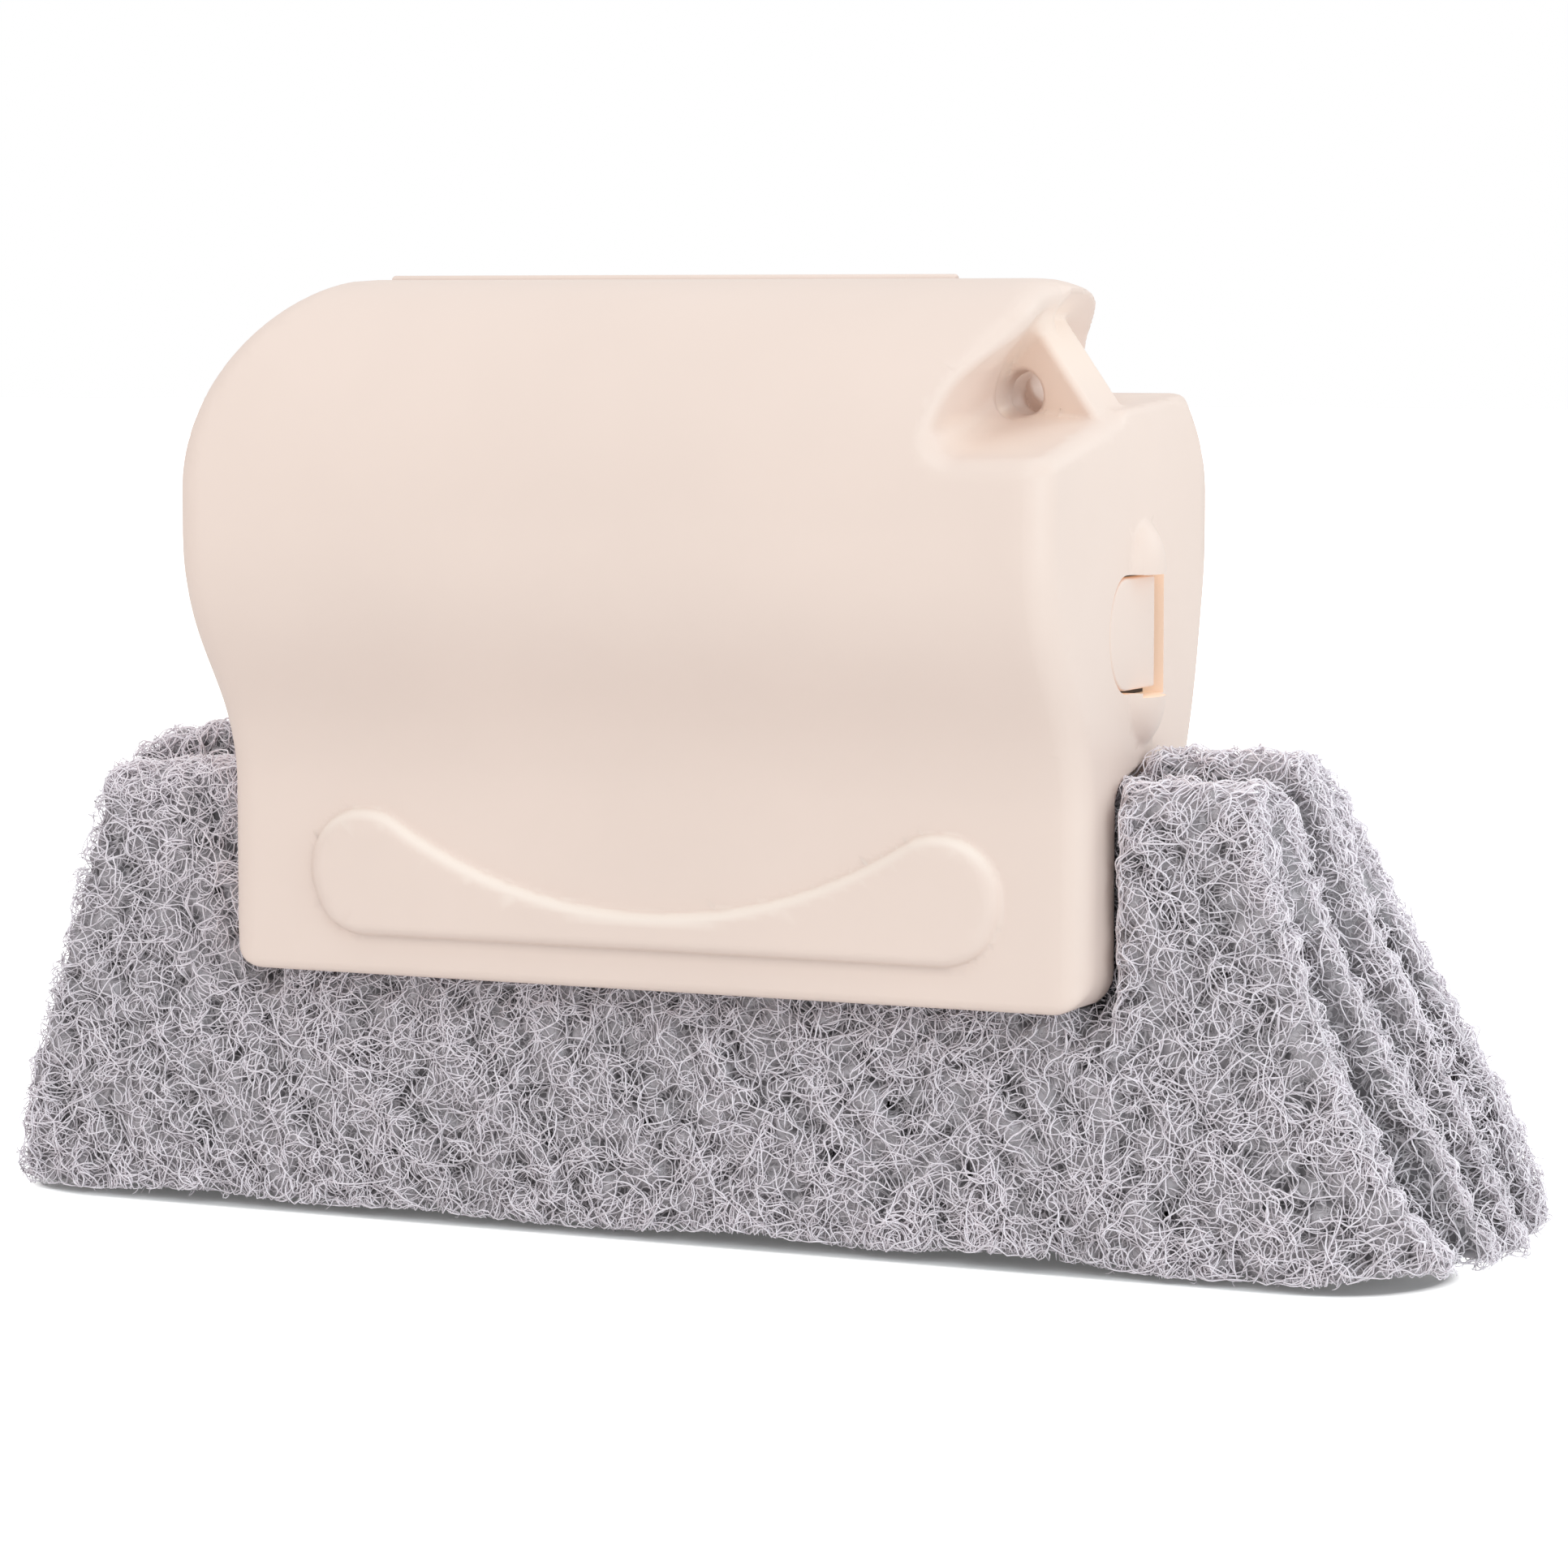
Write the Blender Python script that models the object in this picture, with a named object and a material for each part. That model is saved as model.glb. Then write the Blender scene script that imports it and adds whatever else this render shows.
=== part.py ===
"""Window cleaning brush: a clamshell handle that holds two folded scouring pads.

Metres, +Z up. The tool stands on the ends of its pads, on Z = 0. X runs along the tool, -Y is
its front, and the two halves of the handle meet at Y = 0.
"""

import math

import bmesh
import bpy
from mathutils import Vector

FRONT = -1
REAR = 1

# Handle, seen from the front
HANDLE_LENGTH = 0.0870
HANDLE_BOTTOM = 0.0233
HANDLE_TOP = 0.0881
RIDGE_LENGTH = 0.0732
END_RADIUS = 0.030
FOOT_RADIUS = 0.0035

# Handle, seen from its end: a dome, a straight belly, a waist and two flat cheeks
CHEEK_DEPTH = 0.0112
BELLY_DEPTH = 0.0206
RIDGE_DEPTH = 0.0012
DOME_HEIGHT = 0.0201
BELLY_HEIGHT = 0.0033
WAIST_HEIGHT = {FRONT: 0.0240, REAR: 0.0360}
CORNER_RADIUS = 0.0026

# Walls and clearances
WALL = 0.0020
SEAM_GAP = 0.0003
CLEARANCE = 0.0003
OVERCUT = 0.0010

# Living hinge along the ridge
HINGE_RADIUS = 0.0006
HINGE_LEFT = -0.0317
HINGE_RIGHT = 0.0263

# Recess at the right shoulder, with the web that carries the hanging hole. Points on the web are
# given as steps in X and Z from the recess's inner corner, where its wall meets its shelf.
RECESS_LENGTH = 0.0115
RECESS_DROP = 0.0117
RECESS_LEAN = 0.346
SHELF_FALL = {FRONT: 0.235, REAR: -0.075}
RECESS_ROUND = 0.0022
WEB_EDGE_TOP = (0.0035, 0.0075)
WEB_EDGE_FOOT = (0.0097, -0.0013)
WEB_EDGE_DEPTH = 0.0044
WEB_ROOT_DEPTH = 0.0010
HOLE_CENTRE = (0.0019, 0.0018)
HOLE_RADIUS = 0.0020

# Latch tabs in the end walls
TAB_THICKNESS = 0.0016
TAB_HEIGHT = 0.0100
TAB_Z = 0.0565
TAB_FREE_Y = 0.0052
TAB_SHOULDER_Y = -0.0017
TAB_ROOT_Y = -0.0057
WINDOW_REACH = 0.0024
WINDOW_DROP = 0.0008
BOSS_HEIGHT = 0.0208
BOSS_WIDTH = 0.0077
BOSS_STAND = 0.0018
BOSS_Y = 0.0036

# Raised grip on the front cheek: two lobes joined by a bar with a hollow upper edge
GRIP_LOBE_RADIUS = 0.0061
GRIP_SPAN = 0.0583
GRIP_WAIST = 0.0038
GRIP_X = 0.0005
GRIP_Z = 0.0332
GRIP_STAND = 0.0010
GRIP_ROUND = 0.0005

# Scouring pads: each is one sheet folded over, with its two leaves hanging down
SHEET = 0.0034
PAD_TOP = {FRONT: 0.0447, REAR: 0.0462}
PAD_LEFT_DROOP = 0.0024
PAD_TOP_LEFT = {FRONT: -0.0608, REAR: -0.0620}
PAD_TOP_RIGHT = {FRONT: 0.0578, REAR: 0.0588}
PAD_BOTTOM_LEFT = {FRONT: -0.0695, REAR: -0.0700}
PAD_BOTTOM_RIGHT = {FRONT: 0.0785, REAR: 0.0810}
PAD_FOOT_RADIUS = 0.0030
PAD_SHOULDER_RADIUS = 0.0020
PAD_FAN_DEPTH = 0.0090
PAD_FAN_ROOT = 0.0003
FAN_TOP = 0.0300
SLIT_TOP = 0.0340
PAD_PLAY = 0.00015

# Where the end walls pinch the pads
NOTCH_DEPTH = 0.0040
NOTCH_TOP = 0.0440
PINCH_RUN = 0.0035

# Ribs inside the halves
RIB_THICKNESS = 0.0012
RIB_LENGTH = 0.0740
RIB_HEIGHTS = (0.0262, 0.0312, 0.0362)
STOP_REACH = 0.0015

# Facets
DOME_STEPS = 16
SLIT_STEPS = 6
WAIST_STEPS = 10
ARC_STEPS = 5
ROUND_STEPS = 24

CREAM = (0.80, 0.69, 0.61)
PAD_GREY = (0.36, 0.34, 0.37)


def material(name, colour, roughness):
    made = bpy.data.materials.new(name)
    made.use_nodes = True
    shader = made.node_tree.nodes["Principled BSDF"]
    shader.inputs["Base Color"].default_value = (*colour, 1.0)
    shader.inputs["Roughness"].default_value = roughness
    shader.inputs["Metallic"].default_value = 0.0
    return made


def add_object(name, bm, finish=None, smooth_angle=35.0):
    """One object from a bmesh, its faces turned outwards and its round parts shaded smooth."""
    bmesh.ops.remove_doubles(bm, verts=bm.verts, dist=1e-7)
    bmesh.ops.recalc_face_normals(bm, faces=bm.faces)
    mesh = bpy.data.meshes.new(name)
    bm.to_mesh(mesh)
    bm.free()
    mesh.shade_smooth()
    mesh.set_sharp_from_angle(angle=math.radians(smooth_angle))
    made = bpy.data.objects.new(name, mesh)
    bpy.context.scene.collection.objects.link(made)
    if finish:
        mesh.materials.append(finish)
    return made


def add_cutter(name, bm):
    made = add_object(name, bm)
    made.hide_render = True
    made.display_type = "WIRE"
    return made


def boolean(target, tool, operation="DIFFERENCE"):
    step = target.modifiers.new(tool.name, "BOOLEAN")
    step.operation = operation
    step.solver = "EXACT"
    step.object = tool


def loft(loops):
    """A closed solid through loops of equally many points."""
    bm = bmesh.new()
    rings = [[bm.verts.new(point) for point in loop] for loop in loops]
    count = len(rings[0])
    for lower, upper in zip(rings, rings[1:]):
        for i in range(count):
            j = (i + 1) % count
            bm.faces.new((lower[i], lower[j], upper[j], upper[i]))
    bm.faces.new(rings[0][::-1])
    bm.faces.new(rings[-1])
    return bm


def block(low, high):
    """A box between two corners."""
    (x0, y0, z0), (x1, y1, z1) = low, high
    foot = [(x0, y0), (x1, y0), (x1, y1), (x0, y1)]
    return loft([[(x, y, z) for x, y in foot] for z in (z0, z1)])


def side_block(side, low, high):
    """A box whose depths are measured from the seam, on one side of it."""
    (x0, near, z0), (x1, far, z1) = low, high
    ys = sorted((side * near, side * far))
    return block((x0, ys[0], z0), (x1, ys[1], z1))


def keep_below(bm, point, normal):
    """Cuts away what lies on the far side of a plane, and closes the cut."""
    geometry = list(bm.verts) + list(bm.edges) + list(bm.faces)
    cut = bmesh.ops.bisect_plane(
        bm,
        geom=geometry,
        plane_co=Vector(point),
        plane_no=Vector(normal),
        clear_outer=True,
    )
    rim = [item for item in cut["geom_cut"] if isinstance(item, bmesh.types.BMEdge)]
    if rim:
        bmesh.ops.contextual_create(bm, geom=rim)


def steps(start, end, count):
    return [start + (end - start) * i / count for i in range(count + 1)]


def smooth_step(value):
    value = min(1.0, max(0.0, value))
    return value * value * (3 - 2 * value)


# The handle's outer form


def dome_base():
    return HANDLE_TOP - DOME_HEIGHT


def waist_top():
    return dome_base() - BELLY_HEIGHT


def half_length(z, inset=0.0):
    """Half of the length at a height: rounded feet, then long curves to the ridge.

    The hollow, which is inset by the wall, has no rounded feet.
    """
    half = HANDLE_LENGTH / 2
    drop = half - RIDGE_LENGTH / 2
    shoulder = HANDLE_TOP - math.sqrt(2 * END_RADIUS * drop - drop**2)
    if z > shoulder:
        rise = min(z, HANDLE_TOP) - shoulder
        return half - END_RADIUS + math.sqrt(END_RADIUS**2 - rise**2) - inset
    below = HANDLE_BOTTOM + FOOT_RADIUS - z
    if inset or below <= 0:
        return half - inset
    return half - FOOT_RADIUS + math.sqrt(max(0.0, FOOT_RADIUS**2 - below**2))


def half_depth(z, side, inset=0.0):
    """Depth of one half at a height, less an inset for its wall."""
    if z > dome_base():
        rise = (z - dome_base()) / (DOME_HEIGHT - inset)
        bulge = BELLY_DEPTH - inset - RIDGE_DEPTH
        return RIDGE_DEPTH + bulge * math.sqrt(max(0.0, 1 - rise**2))
    swell = smooth_step(1 + (z - waist_top()) / WAIST_HEIGHT[side])
    return CHEEK_DEPTH + (BELLY_DEPTH - CHEEK_DEPTH) * swell - inset


def heights(side, inset):
    """Heights of the slices: close together where the form curves."""
    if inset:
        found = [HANDLE_BOTTOM - OVERCUT]
    else:
        turns = steps(0.0, math.pi / 2, ARC_STEPS)
        found = [HANDLE_BOTTOM + FOOT_RADIUS * (1 - math.cos(turn)) for turn in turns]
    waist = steps(waist_top() - WAIST_HEIGHT[side], waist_top(), WAIST_STEPS)
    found += [z for z in waist if z > found[-1]]
    turns = steps(0.0, math.pi / 2, DOME_STEPS)
    return found + [dome_base() + (DOME_HEIGHT - inset) * math.sin(turn) for turn in turns]


def slice_of_half(z, side, inset, seam):
    """The outline of one half at a height, from the seam round its front and back again."""
    length = half_length(z, inset)
    depth = half_depth(z, side, inset)
    radius = min(max(CORNER_RADIUS - inset, CORNER_RADIUS / 4), depth / 2)
    arc = [math.pi / 2 * i / ARC_STEPS for i in range(ARC_STEPS + 1)]
    right = [
        (length - radius * (1 - math.cos(a)), depth - radius * (1 - math.sin(a)))
        for a in arc
    ]
    left = [(-x, y) for x, y in reversed(right)]
    outline = [(length, seam)] + right + left + [(-length, seam)]
    return [(x, side * y, z) for x, y in outline]


def half_body(side, inset=0.0, seam=SEAM_GAP / 2):
    slices = [slice_of_half(z, side, inset, seam) for z in heights(side, inset)]
    return loft(slices)


# Recess at the shoulder


def recess_point(step=(0.0, 0.0)):
    """A point on the seam, given as a step in X and Z from the recess's inner corner."""
    x = HANDLE_LENGTH / 2 - RECESS_LENGTH + step[0]
    return Vector((x, 0, HANDLE_TOP - RECESS_DROP + step[1]))


def recess_block(side, margin, depth_from, round_by):
    """What lies right of the recess's wall and above its shelf, on one side of the seam."""
    far = BELLY_DEPTH * 2
    low = (0.0, depth_from, dome_base() / 2)
    bm = side_block(side, low, (HANDLE_LENGTH, far, HANDLE_TOP * 2))
    lean = Vector((1, 0, -RECESS_LEAN)).normalized()
    wall = recess_point() - lean * margin
    keep_below(bm, wall, -lean)
    fall = Vector((0, side * SHELF_FALL[side], 1)).normalized()
    shelf = recess_point() - fall * margin
    keep_below(bm, shelf, -fall)
    if round_by:
        corner = [edge for edge in bm.edges if on_both(edge, wall, lean, shelf, fall)]
        bmesh.ops.bevel(
            bm,
            geom=corner,
            offset=round_by,
            segments=ARC_STEPS,
            profile=0.5,
            affect="EDGES",
        )
    return bm


def on_both(edge, wall, lean, shelf, fall):
    close = 1e-6
    return all(
        abs((vert.co - wall).dot(lean)) < close and abs((vert.co - shelf).dot(fall)) < close
        for vert in edge.verts
    )


def web(side):
    """The web as a wedge: inside its free edge, under a face that slopes to its root."""
    far = BELLY_DEPTH * 2
    low = (0.0, -2 * OVERCUT, dome_base() / 2)
    bm = side_block(side, low, (HANDLE_LENGTH, far, HANDLE_TOP * 2))
    top, foot, root = (recess_point(step) for step in (WEB_EDGE_TOP, WEB_EDGE_FOOT, (0, 0)))
    outward = Vector((top.z - foot.z, 0, foot.x - top.x)).normalized()
    keep_below(bm, top, outward)
    slope = (WEB_EDGE_DEPTH - WEB_ROOT_DEPTH) / (top - root).dot(outward)
    face = top + Vector((0, side * WEB_EDGE_DEPTH, 0))
    keep_below(bm, face, Vector((0, side, 0)) - outward * slope)
    return add_cutter(f"web_{side}", bm)


def recess_cutter(side):
    """The recess: all of the shoulder's corner but the web."""
    bm = recess_block(side, 0.0, -OVERCUT, RECESS_ROUND)
    cutter = add_cutter(f"recess_cutter_{side}", bm)
    boolean(cutter, web(side))
    return cutter


def hole_cutter():
    """The hanging hole: a bore along Y through the web alone."""
    reach = WEB_EDGE_DEPTH
    centre = recess_point(HOLE_CENTRE)
    ring = [
        (centre.x + HOLE_RADIUS * math.cos(a), centre.z + HOLE_RADIUS * math.sin(a))
        for a in [2 * math.pi * i / ROUND_STEPS for i in range(ROUND_STEPS)]
    ]
    bm = loft([[(x, y, z) for x, z in ring] for y in (-reach, reach)])
    return add_cutter("hole_cutter", bm)


# Latch


def tab_outline(offset):
    """The tab's outline in Y and Z: square at its free end, half round at its root."""
    half = TAB_HEIGHT / 2 + offset
    reach = TAB_SHOULDER_Y - TAB_ROOT_Y + offset
    outline = [(TAB_FREE_Y + offset, -half), (TAB_FREE_Y + offset, half)]
    for i in range(ROUND_STEPS // 2 + 1):
        turn = math.pi / 2 + math.pi * i / (ROUND_STEPS // 2)
        outline.append((TAB_SHOULDER_Y + reach * math.cos(turn), half * math.sin(turn)))
    return [(y, TAB_Z + z) for y, z in outline]


def tab_solid(end, offset, thickness, proud):
    x0 = end * (HANDLE_LENGTH / 2 - thickness)
    x1 = end * (HANDLE_LENGTH / 2 + proud)
    return loft([[(x, y, z) for y, z in tab_outline(offset)] for x in (x0, x1)])


def latch_tab(name, end, finish):
    """A flexing tongue, flush with the end wall; its origin is on the line it flexes about."""
    bm = tab_solid(end, 0.0, TAB_THICKNESS, 0.0)
    pivot = Vector((end * (HANDLE_LENGTH / 2 - TAB_THICKNESS / 2), TAB_ROOT_Y, TAB_Z))
    bmesh.ops.translate(bm, verts=bm.verts, vec=-pivot)
    made = add_object(name, bm, finish)
    made.location = pivot
    return made


def window_cutter(end):
    """The window of the rear half that the tab's free end lies in."""
    half = TAB_HEIGHT / 2
    xs = sorted((end * (HANDLE_LENGTH / 2 - 2 * WALL), end * (HANDLE_LENGTH / 2 + 2 * WALL)))
    low = (xs[0], -OVERCUT, TAB_Z - half - WINDOW_DROP)
    high = (xs[1], TAB_FREE_Y + WINDOW_REACH, TAB_Z + half + CLEARANCE)
    return add_cutter(f"window_cutter_{end}", block(low, high))


def latch_boss(end):
    """A long swelling on the rear half's end wall, which the window cuts in two."""
    bm = bmesh.new()
    bmesh.ops.create_uvsphere(bm, u_segments=ROUND_STEPS, v_segments=ROUND_STEPS // 2, radius=1.0)
    size = Vector((BOSS_STAND + WALL / 2, BOSS_WIDTH / 2, BOSS_HEIGHT / 2))
    bmesh.ops.scale(bm, vec=size, verts=bm.verts)
    centre = Vector((end * (HANDLE_LENGTH / 2 - WALL / 2), BOSS_Y, TAB_Z))
    bmesh.ops.translate(bm, vec=centre, verts=bm.verts)
    inner = centre.x - end * WALL / 4
    keep_below(bm, (inner, 0, 0), (-end, 0, 0))
    return add_cutter(f"latch_boss_{end}", bm)


# Grip


def grip_outline():
    """Two lobes, a straight foot and the arc that touches both lobes from above."""
    half = GRIP_SPAN / 2
    radius = GRIP_LOBE_RADIUS
    hollow = 2 * radius - GRIP_WAIST
    arc_z = (half**2 - hollow**2) / (2 * hollow)
    arc_radius = math.hypot(half, arc_z) - radius
    lean = math.atan2(arc_z, half)
    right = [
        (half + radius * math.cos(a), radius * math.sin(a))
        for a in steps(-math.pi / 2, math.pi - lean, ROUND_STEPS // 2)
    ]
    arc = [
        (arc_radius * math.cos(a), arc_z + arc_radius * math.sin(a))
        for a in steps(-lean, -math.pi + lean, ROUND_STEPS)
    ]
    left = [(-x, z) for x, z in reversed(right)]
    outline = right + arc[1:-1] + left
    return [(GRIP_X + x, GRIP_Z + z) for x, z in outline]


def grip_relief():
    inner = CHEEK_DEPTH - WALL / 2
    outer = CHEEK_DEPTH + GRIP_STAND
    bm = loft([[(x, -y, z) for x, z in grip_outline()] for y in (inner, outer)])
    bm.verts.ensure_lookup_table()
    rim = [
        edge
        for edge in bm.edges
        if all(abs(vert.co.y + outer) < 1e-6 for vert in edge.verts)
    ]
    bmesh.ops.bevel(
        bm, geom=rim, offset=GRIP_ROUND, segments=2, profile=0.5, affect="EDGES"
    )
    return add_cutter("grip_relief", bm)


# Ribs


def fan(z):
    """1 at the foot of the pads, where the leaves spread, and 0 above."""
    return 1 - smooth_step(z / FAN_TOP)


def pad_face(z):
    """How far from the seam a pad's outer face lies at a height."""
    flat = 2 * SHEET + PAD_PLAY
    return flat + (PAD_FAN_DEPTH - flat) * fan(z)


def clamp_rib(side, z):
    """A bar along the inside of a cheek that bears on the pad."""
    near = pad_face(z) + CLEARANCE
    far = half_depth(z, side) - WALL / 2
    half = RIB_LENGTH / 2
    rib = side_block(
        side, (-half, near, z - RIB_THICKNESS / 2), (half, far, z + RIB_THICKNESS / 2)
    )
    return add_cutter(f"clamp_rib_{side}_{RIB_HEIGHTS.index(z)}", rib)


def stop_rib(side):
    """The shelf that the fold of the pad pushes up against."""
    foot = PAD_TOP[side] + CLEARANCE
    half = (HANDLE_LENGTH - WALL) / 2
    rib = side_block(
        side,
        (-half, STOP_REACH, foot),
        (half, half_depth(foot, side) - WALL / 2, foot + RIB_THICKNESS),
    )
    return add_cutter(f"stop_rib_{side}", rib)


def notch_cutter(side):
    """Opens both end walls downwards for the pads."""
    half = HANDLE_LENGTH
    low = (-half, -OVERCUT, HANDLE_BOTTOM - OVERCUT)
    return add_cutter(
        f"notch_cutter_{side}", side_block(side, low, (half, NOTCH_DEPTH, NOTCH_TOP))
    )


def hinge_rod(radius, spare):
    """A round bar along the ridge, from end to end of the living hinge."""
    ring = [
        (radius * math.cos(a), HANDLE_TOP + radius * math.sin(a))
        for a in [2 * math.pi * i / ROUND_STEPS for i in range(ROUND_STEPS)]
    ]
    ends = (HINGE_LEFT - spare, HINGE_RIGHT + spare)
    return loft([[(x, y, z) for y, z in ring] for x in ends])


# The pieces


def handle_half(name, side, finish):
    """One half of the clamshell: a wall round a hollow, open at the seam and at the foot."""
    shell = add_object(name, half_body(side), finish)
    hollow = add_cutter(f"hollow_{side}", half_body(side, WALL, -OVERCUT))
    keep = add_cutter(f"recess_backing_{side}", recess_block(side, WALL, -2 * OVERCUT, 0.0))
    boolean(hollow, keep)
    boolean(shell, hollow)
    for z in RIB_HEIGHTS:
        boolean(shell, clamp_rib(side, z), "UNION")
    boolean(shell, stop_rib(side), "UNION")
    boolean(shell, notch_cutter(side))
    boolean(shell, recess_cutter(side))
    return shell


def living_hinge(finish):
    """The web that joins the halves; its origin is on the axis that they open about."""
    bm = hinge_rod(HINGE_RADIUS, 0.0)
    axis = Vector((0, 0, HANDLE_TOP))
    bmesh.ops.translate(bm, verts=bm.verts, vec=-axis)
    made = add_object("living_hinge", bm, finish)
    made.location = axis
    return made


def pinch(x):
    """1 where an end wall pinches the pads, 0 away from it."""
    middle = (HANDLE_LENGTH - WALL) / 2
    outside = abs(abs(x) - middle) - WALL / 2 - CLEARANCE
    return 1 - smooth_step(outside / PINCH_RUN)


def crown(x, side):
    """Height of the fold at X: it droops towards the left end, and ducks under the end walls."""
    reach = (x + HANDLE_LENGTH / 2) / (PAD_TOP_LEFT[side] + HANDLE_LENGTH / 2)
    free = PAD_TOP[side] - PAD_LEFT_DROOP * min(1.0, max(0.0, reach))
    under = min(free, NOTCH_TOP - CLEARANCE)
    return free + (under - free) * pinch(x)


def pad_section(x, side):
    """The folded sheet cut across at X: up its inner face, over the fold, down and up the slit."""
    squeeze = pinch(x)

    def place(across, z):
        """across is 0 on the inner face and 1 on the outer face."""
        held = squeeze * smooth_step((z / HANDLE_BOTTOM - 0.5) / 0.45)
        outer = pad_face(z)
        outer += (NOTCH_DEPTH - CLEARANCE - outer) * held
        root = PAD_PLAY + PAD_FAN_ROOT * fan(z)
        return (x, side * (root + (outer - root) * across), z)

    def slit(z):
        """Half of the slit's width, as a share of the fold's."""
        narrow = PAD_PLAY / (2 * SHEET)
        wide = 0.5 - SHEET / PAD_FAN_DEPTH
        return narrow + (wide - narrow) * fan(z)

    up = steps(-OVERCUT, SLIT_TOP, SLIT_STEPS)
    down = up[::-1]
    fold_z = crown(x, side) - SHEET
    section = [place(0, z) for z in up]
    for i in range(2 * ARC_STEPS + 1):
        turn = math.pi * i / (2 * ARC_STEPS)
        section.append(place((1 - math.cos(turn)) / 2, fold_z + SHEET * math.sin(turn)))
    section += [place(1, z) for z in down]
    section += [place(0.5 + slit(z), z) for z in up]
    section += [place(0.5 - slit(z), z) for z in down]
    return section


def pad_stations(side):
    """Where the pad is cut across: close together by the end walls."""
    middle = (HANDLE_LENGTH - WALL) / 2
    near = WALL / 2 + CLEARANCE
    ends = [near, near + PINCH_RUN / 2, near + PINCH_RUN]
    right = [middle - end for end in ends] + [middle + end for end in ends]
    left = [-x for x in right]
    tips = [PAD_BOTTOM_LEFT[side] - OVERCUT, PAD_BOTTOM_RIGHT[side] + OVERCUT]
    return sorted([0.0] + left + right + tips)


def rounded(corners, radii):
    """A polygon in X and Z, counter-clockwise, with each corner rounded by its radius."""
    outline = []
    for i, (corner, radius) in enumerate(zip(corners, radii)):
        here = Vector(corner)
        before = (Vector(corners[i - 1]) - here).normalized()
        after = (Vector(corners[(i + 1) % len(corners)]) - here).normalized()
        half = before.angle(after) / 2
        centre = here + (before + after).normalized() * (radius / math.sin(half))
        start = here + before * (radius / math.tan(half)) - centre
        first = math.atan2(start.y, start.x)
        for turn in steps(first, first + math.pi - 2 * half, ARC_STEPS):
            outline.append(centre + radius * Vector((math.cos(turn), math.sin(turn))))
    return outline


def pad_outline(side):
    """The leaves seen from the front: wider at the foot, and a little lower at the left."""
    corners = [
        (PAD_BOTTOM_LEFT[side], 0.0),
        (PAD_BOTTOM_RIGHT[side], 0.0),
        (PAD_TOP_RIGHT[side], PAD_TOP[side] + CLEARANCE),
        (PAD_TOP_LEFT[side], PAD_TOP[side] + CLEARANCE - PAD_LEFT_DROOP),
    ]
    radii = [PAD_FOOT_RADIUS] * 2 + [PAD_SHOULDER_RADIUS] * 2
    return rounded(corners, radii)


def scouring_pad(name, side, finish):
    """One folded sheet, trimmed to its outline."""
    bm = loft([pad_section(x, side) for x in pad_stations(side)])
    made = add_object(name, bm, finish)
    deep = 2 * PAD_FAN_DEPTH
    outline = [[(p.x, y, p.y) for p in pad_outline(side)] for y in (-deep, deep)]
    boolean(made, add_cutter(f"pad_outline_{side}", loft(outline)), "INTERSECT")
    return made


def centre_on_pads():
    """Moves everything along X, so that the part's box is centred on the origin."""
    ends = [point.x for side in (FRONT, REAR) for point in pad_outline(side)]
    middle = (min(ends) + max(ends)) / 2
    for made in bpy.data.objects:
        made.location.x -= middle


def build():
    for old in list(bpy.data.objects):
        bpy.data.objects.remove(old)
    cream = material("cream_polypropylene", CREAM, 0.45)
    grey = material("grey_fibre", PAD_GREY, 0.95)

    front = handle_half("front_shell", FRONT, cream)
    rear = handle_half("rear_shell", REAR, cream)
    hole = hole_cutter()
    groove = add_cutter("hinge_groove", hinge_rod(HINGE_RADIUS + CLEARANCE, CLEARANCE))
    for shell in (front, rear):
        boolean(shell, hole)
        boolean(shell, groove)
    boolean(front, grip_relief(), "UNION")
    for end, word in ((1, "right"), (-1, "left")):
        boolean(rear, latch_boss(end), "UNION")
        boolean(rear, window_cutter(end))
        tab_hole = tab_solid(end, CLEARANCE, 2 * WALL, 2 * WALL)
        boolean(front, add_cutter(f"tab_hole_{word}", tab_hole))
        latch_tab(f"latch_tab_{word}", end, cream)
    living_hinge(cream)
    scouring_pad("front_pad", FRONT, grey)
    scouring_pad("rear_pad", REAR, grey)
    centre_on_pads()


build()
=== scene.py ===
import math

import bmesh
import bpy
import numpy as np
import openvdb
from mathutils import Matrix, Vector


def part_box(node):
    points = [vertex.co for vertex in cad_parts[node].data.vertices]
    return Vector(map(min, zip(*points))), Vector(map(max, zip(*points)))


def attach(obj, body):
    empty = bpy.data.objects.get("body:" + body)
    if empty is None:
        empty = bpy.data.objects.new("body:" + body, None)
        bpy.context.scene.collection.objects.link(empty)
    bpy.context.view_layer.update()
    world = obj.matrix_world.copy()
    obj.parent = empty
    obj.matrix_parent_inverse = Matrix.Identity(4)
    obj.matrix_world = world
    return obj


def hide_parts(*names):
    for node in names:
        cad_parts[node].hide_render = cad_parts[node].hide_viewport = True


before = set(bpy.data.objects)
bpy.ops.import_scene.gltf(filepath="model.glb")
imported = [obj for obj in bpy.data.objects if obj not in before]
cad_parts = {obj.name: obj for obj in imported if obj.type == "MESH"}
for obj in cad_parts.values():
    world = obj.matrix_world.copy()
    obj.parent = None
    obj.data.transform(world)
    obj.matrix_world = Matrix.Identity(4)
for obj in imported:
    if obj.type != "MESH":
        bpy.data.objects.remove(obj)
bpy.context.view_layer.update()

MM = 0.001
FRONT = -1
REAR = 1

# Sizes repeat those of the solids. They are in millimetres, with X from the handle's middle,
# Y from the seam and Z from the floor. Pairs of sizes are for the front and the rear.
shell_low, shell_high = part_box("front_shell")
HANDLE_MIDDLE = (shell_low.x + shell_high.x) / 2 / MM

# The handle seen from the front
END_X = 43.5
LEFT_EXTRA = 0.35
FOOT_Z = 23.3
FOOT_RADIUS = 3.5
SHOULDER_X = 13.5
SHOULDER_Z = 68.96
SHOULDER_RADIUS = 30.0

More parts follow.
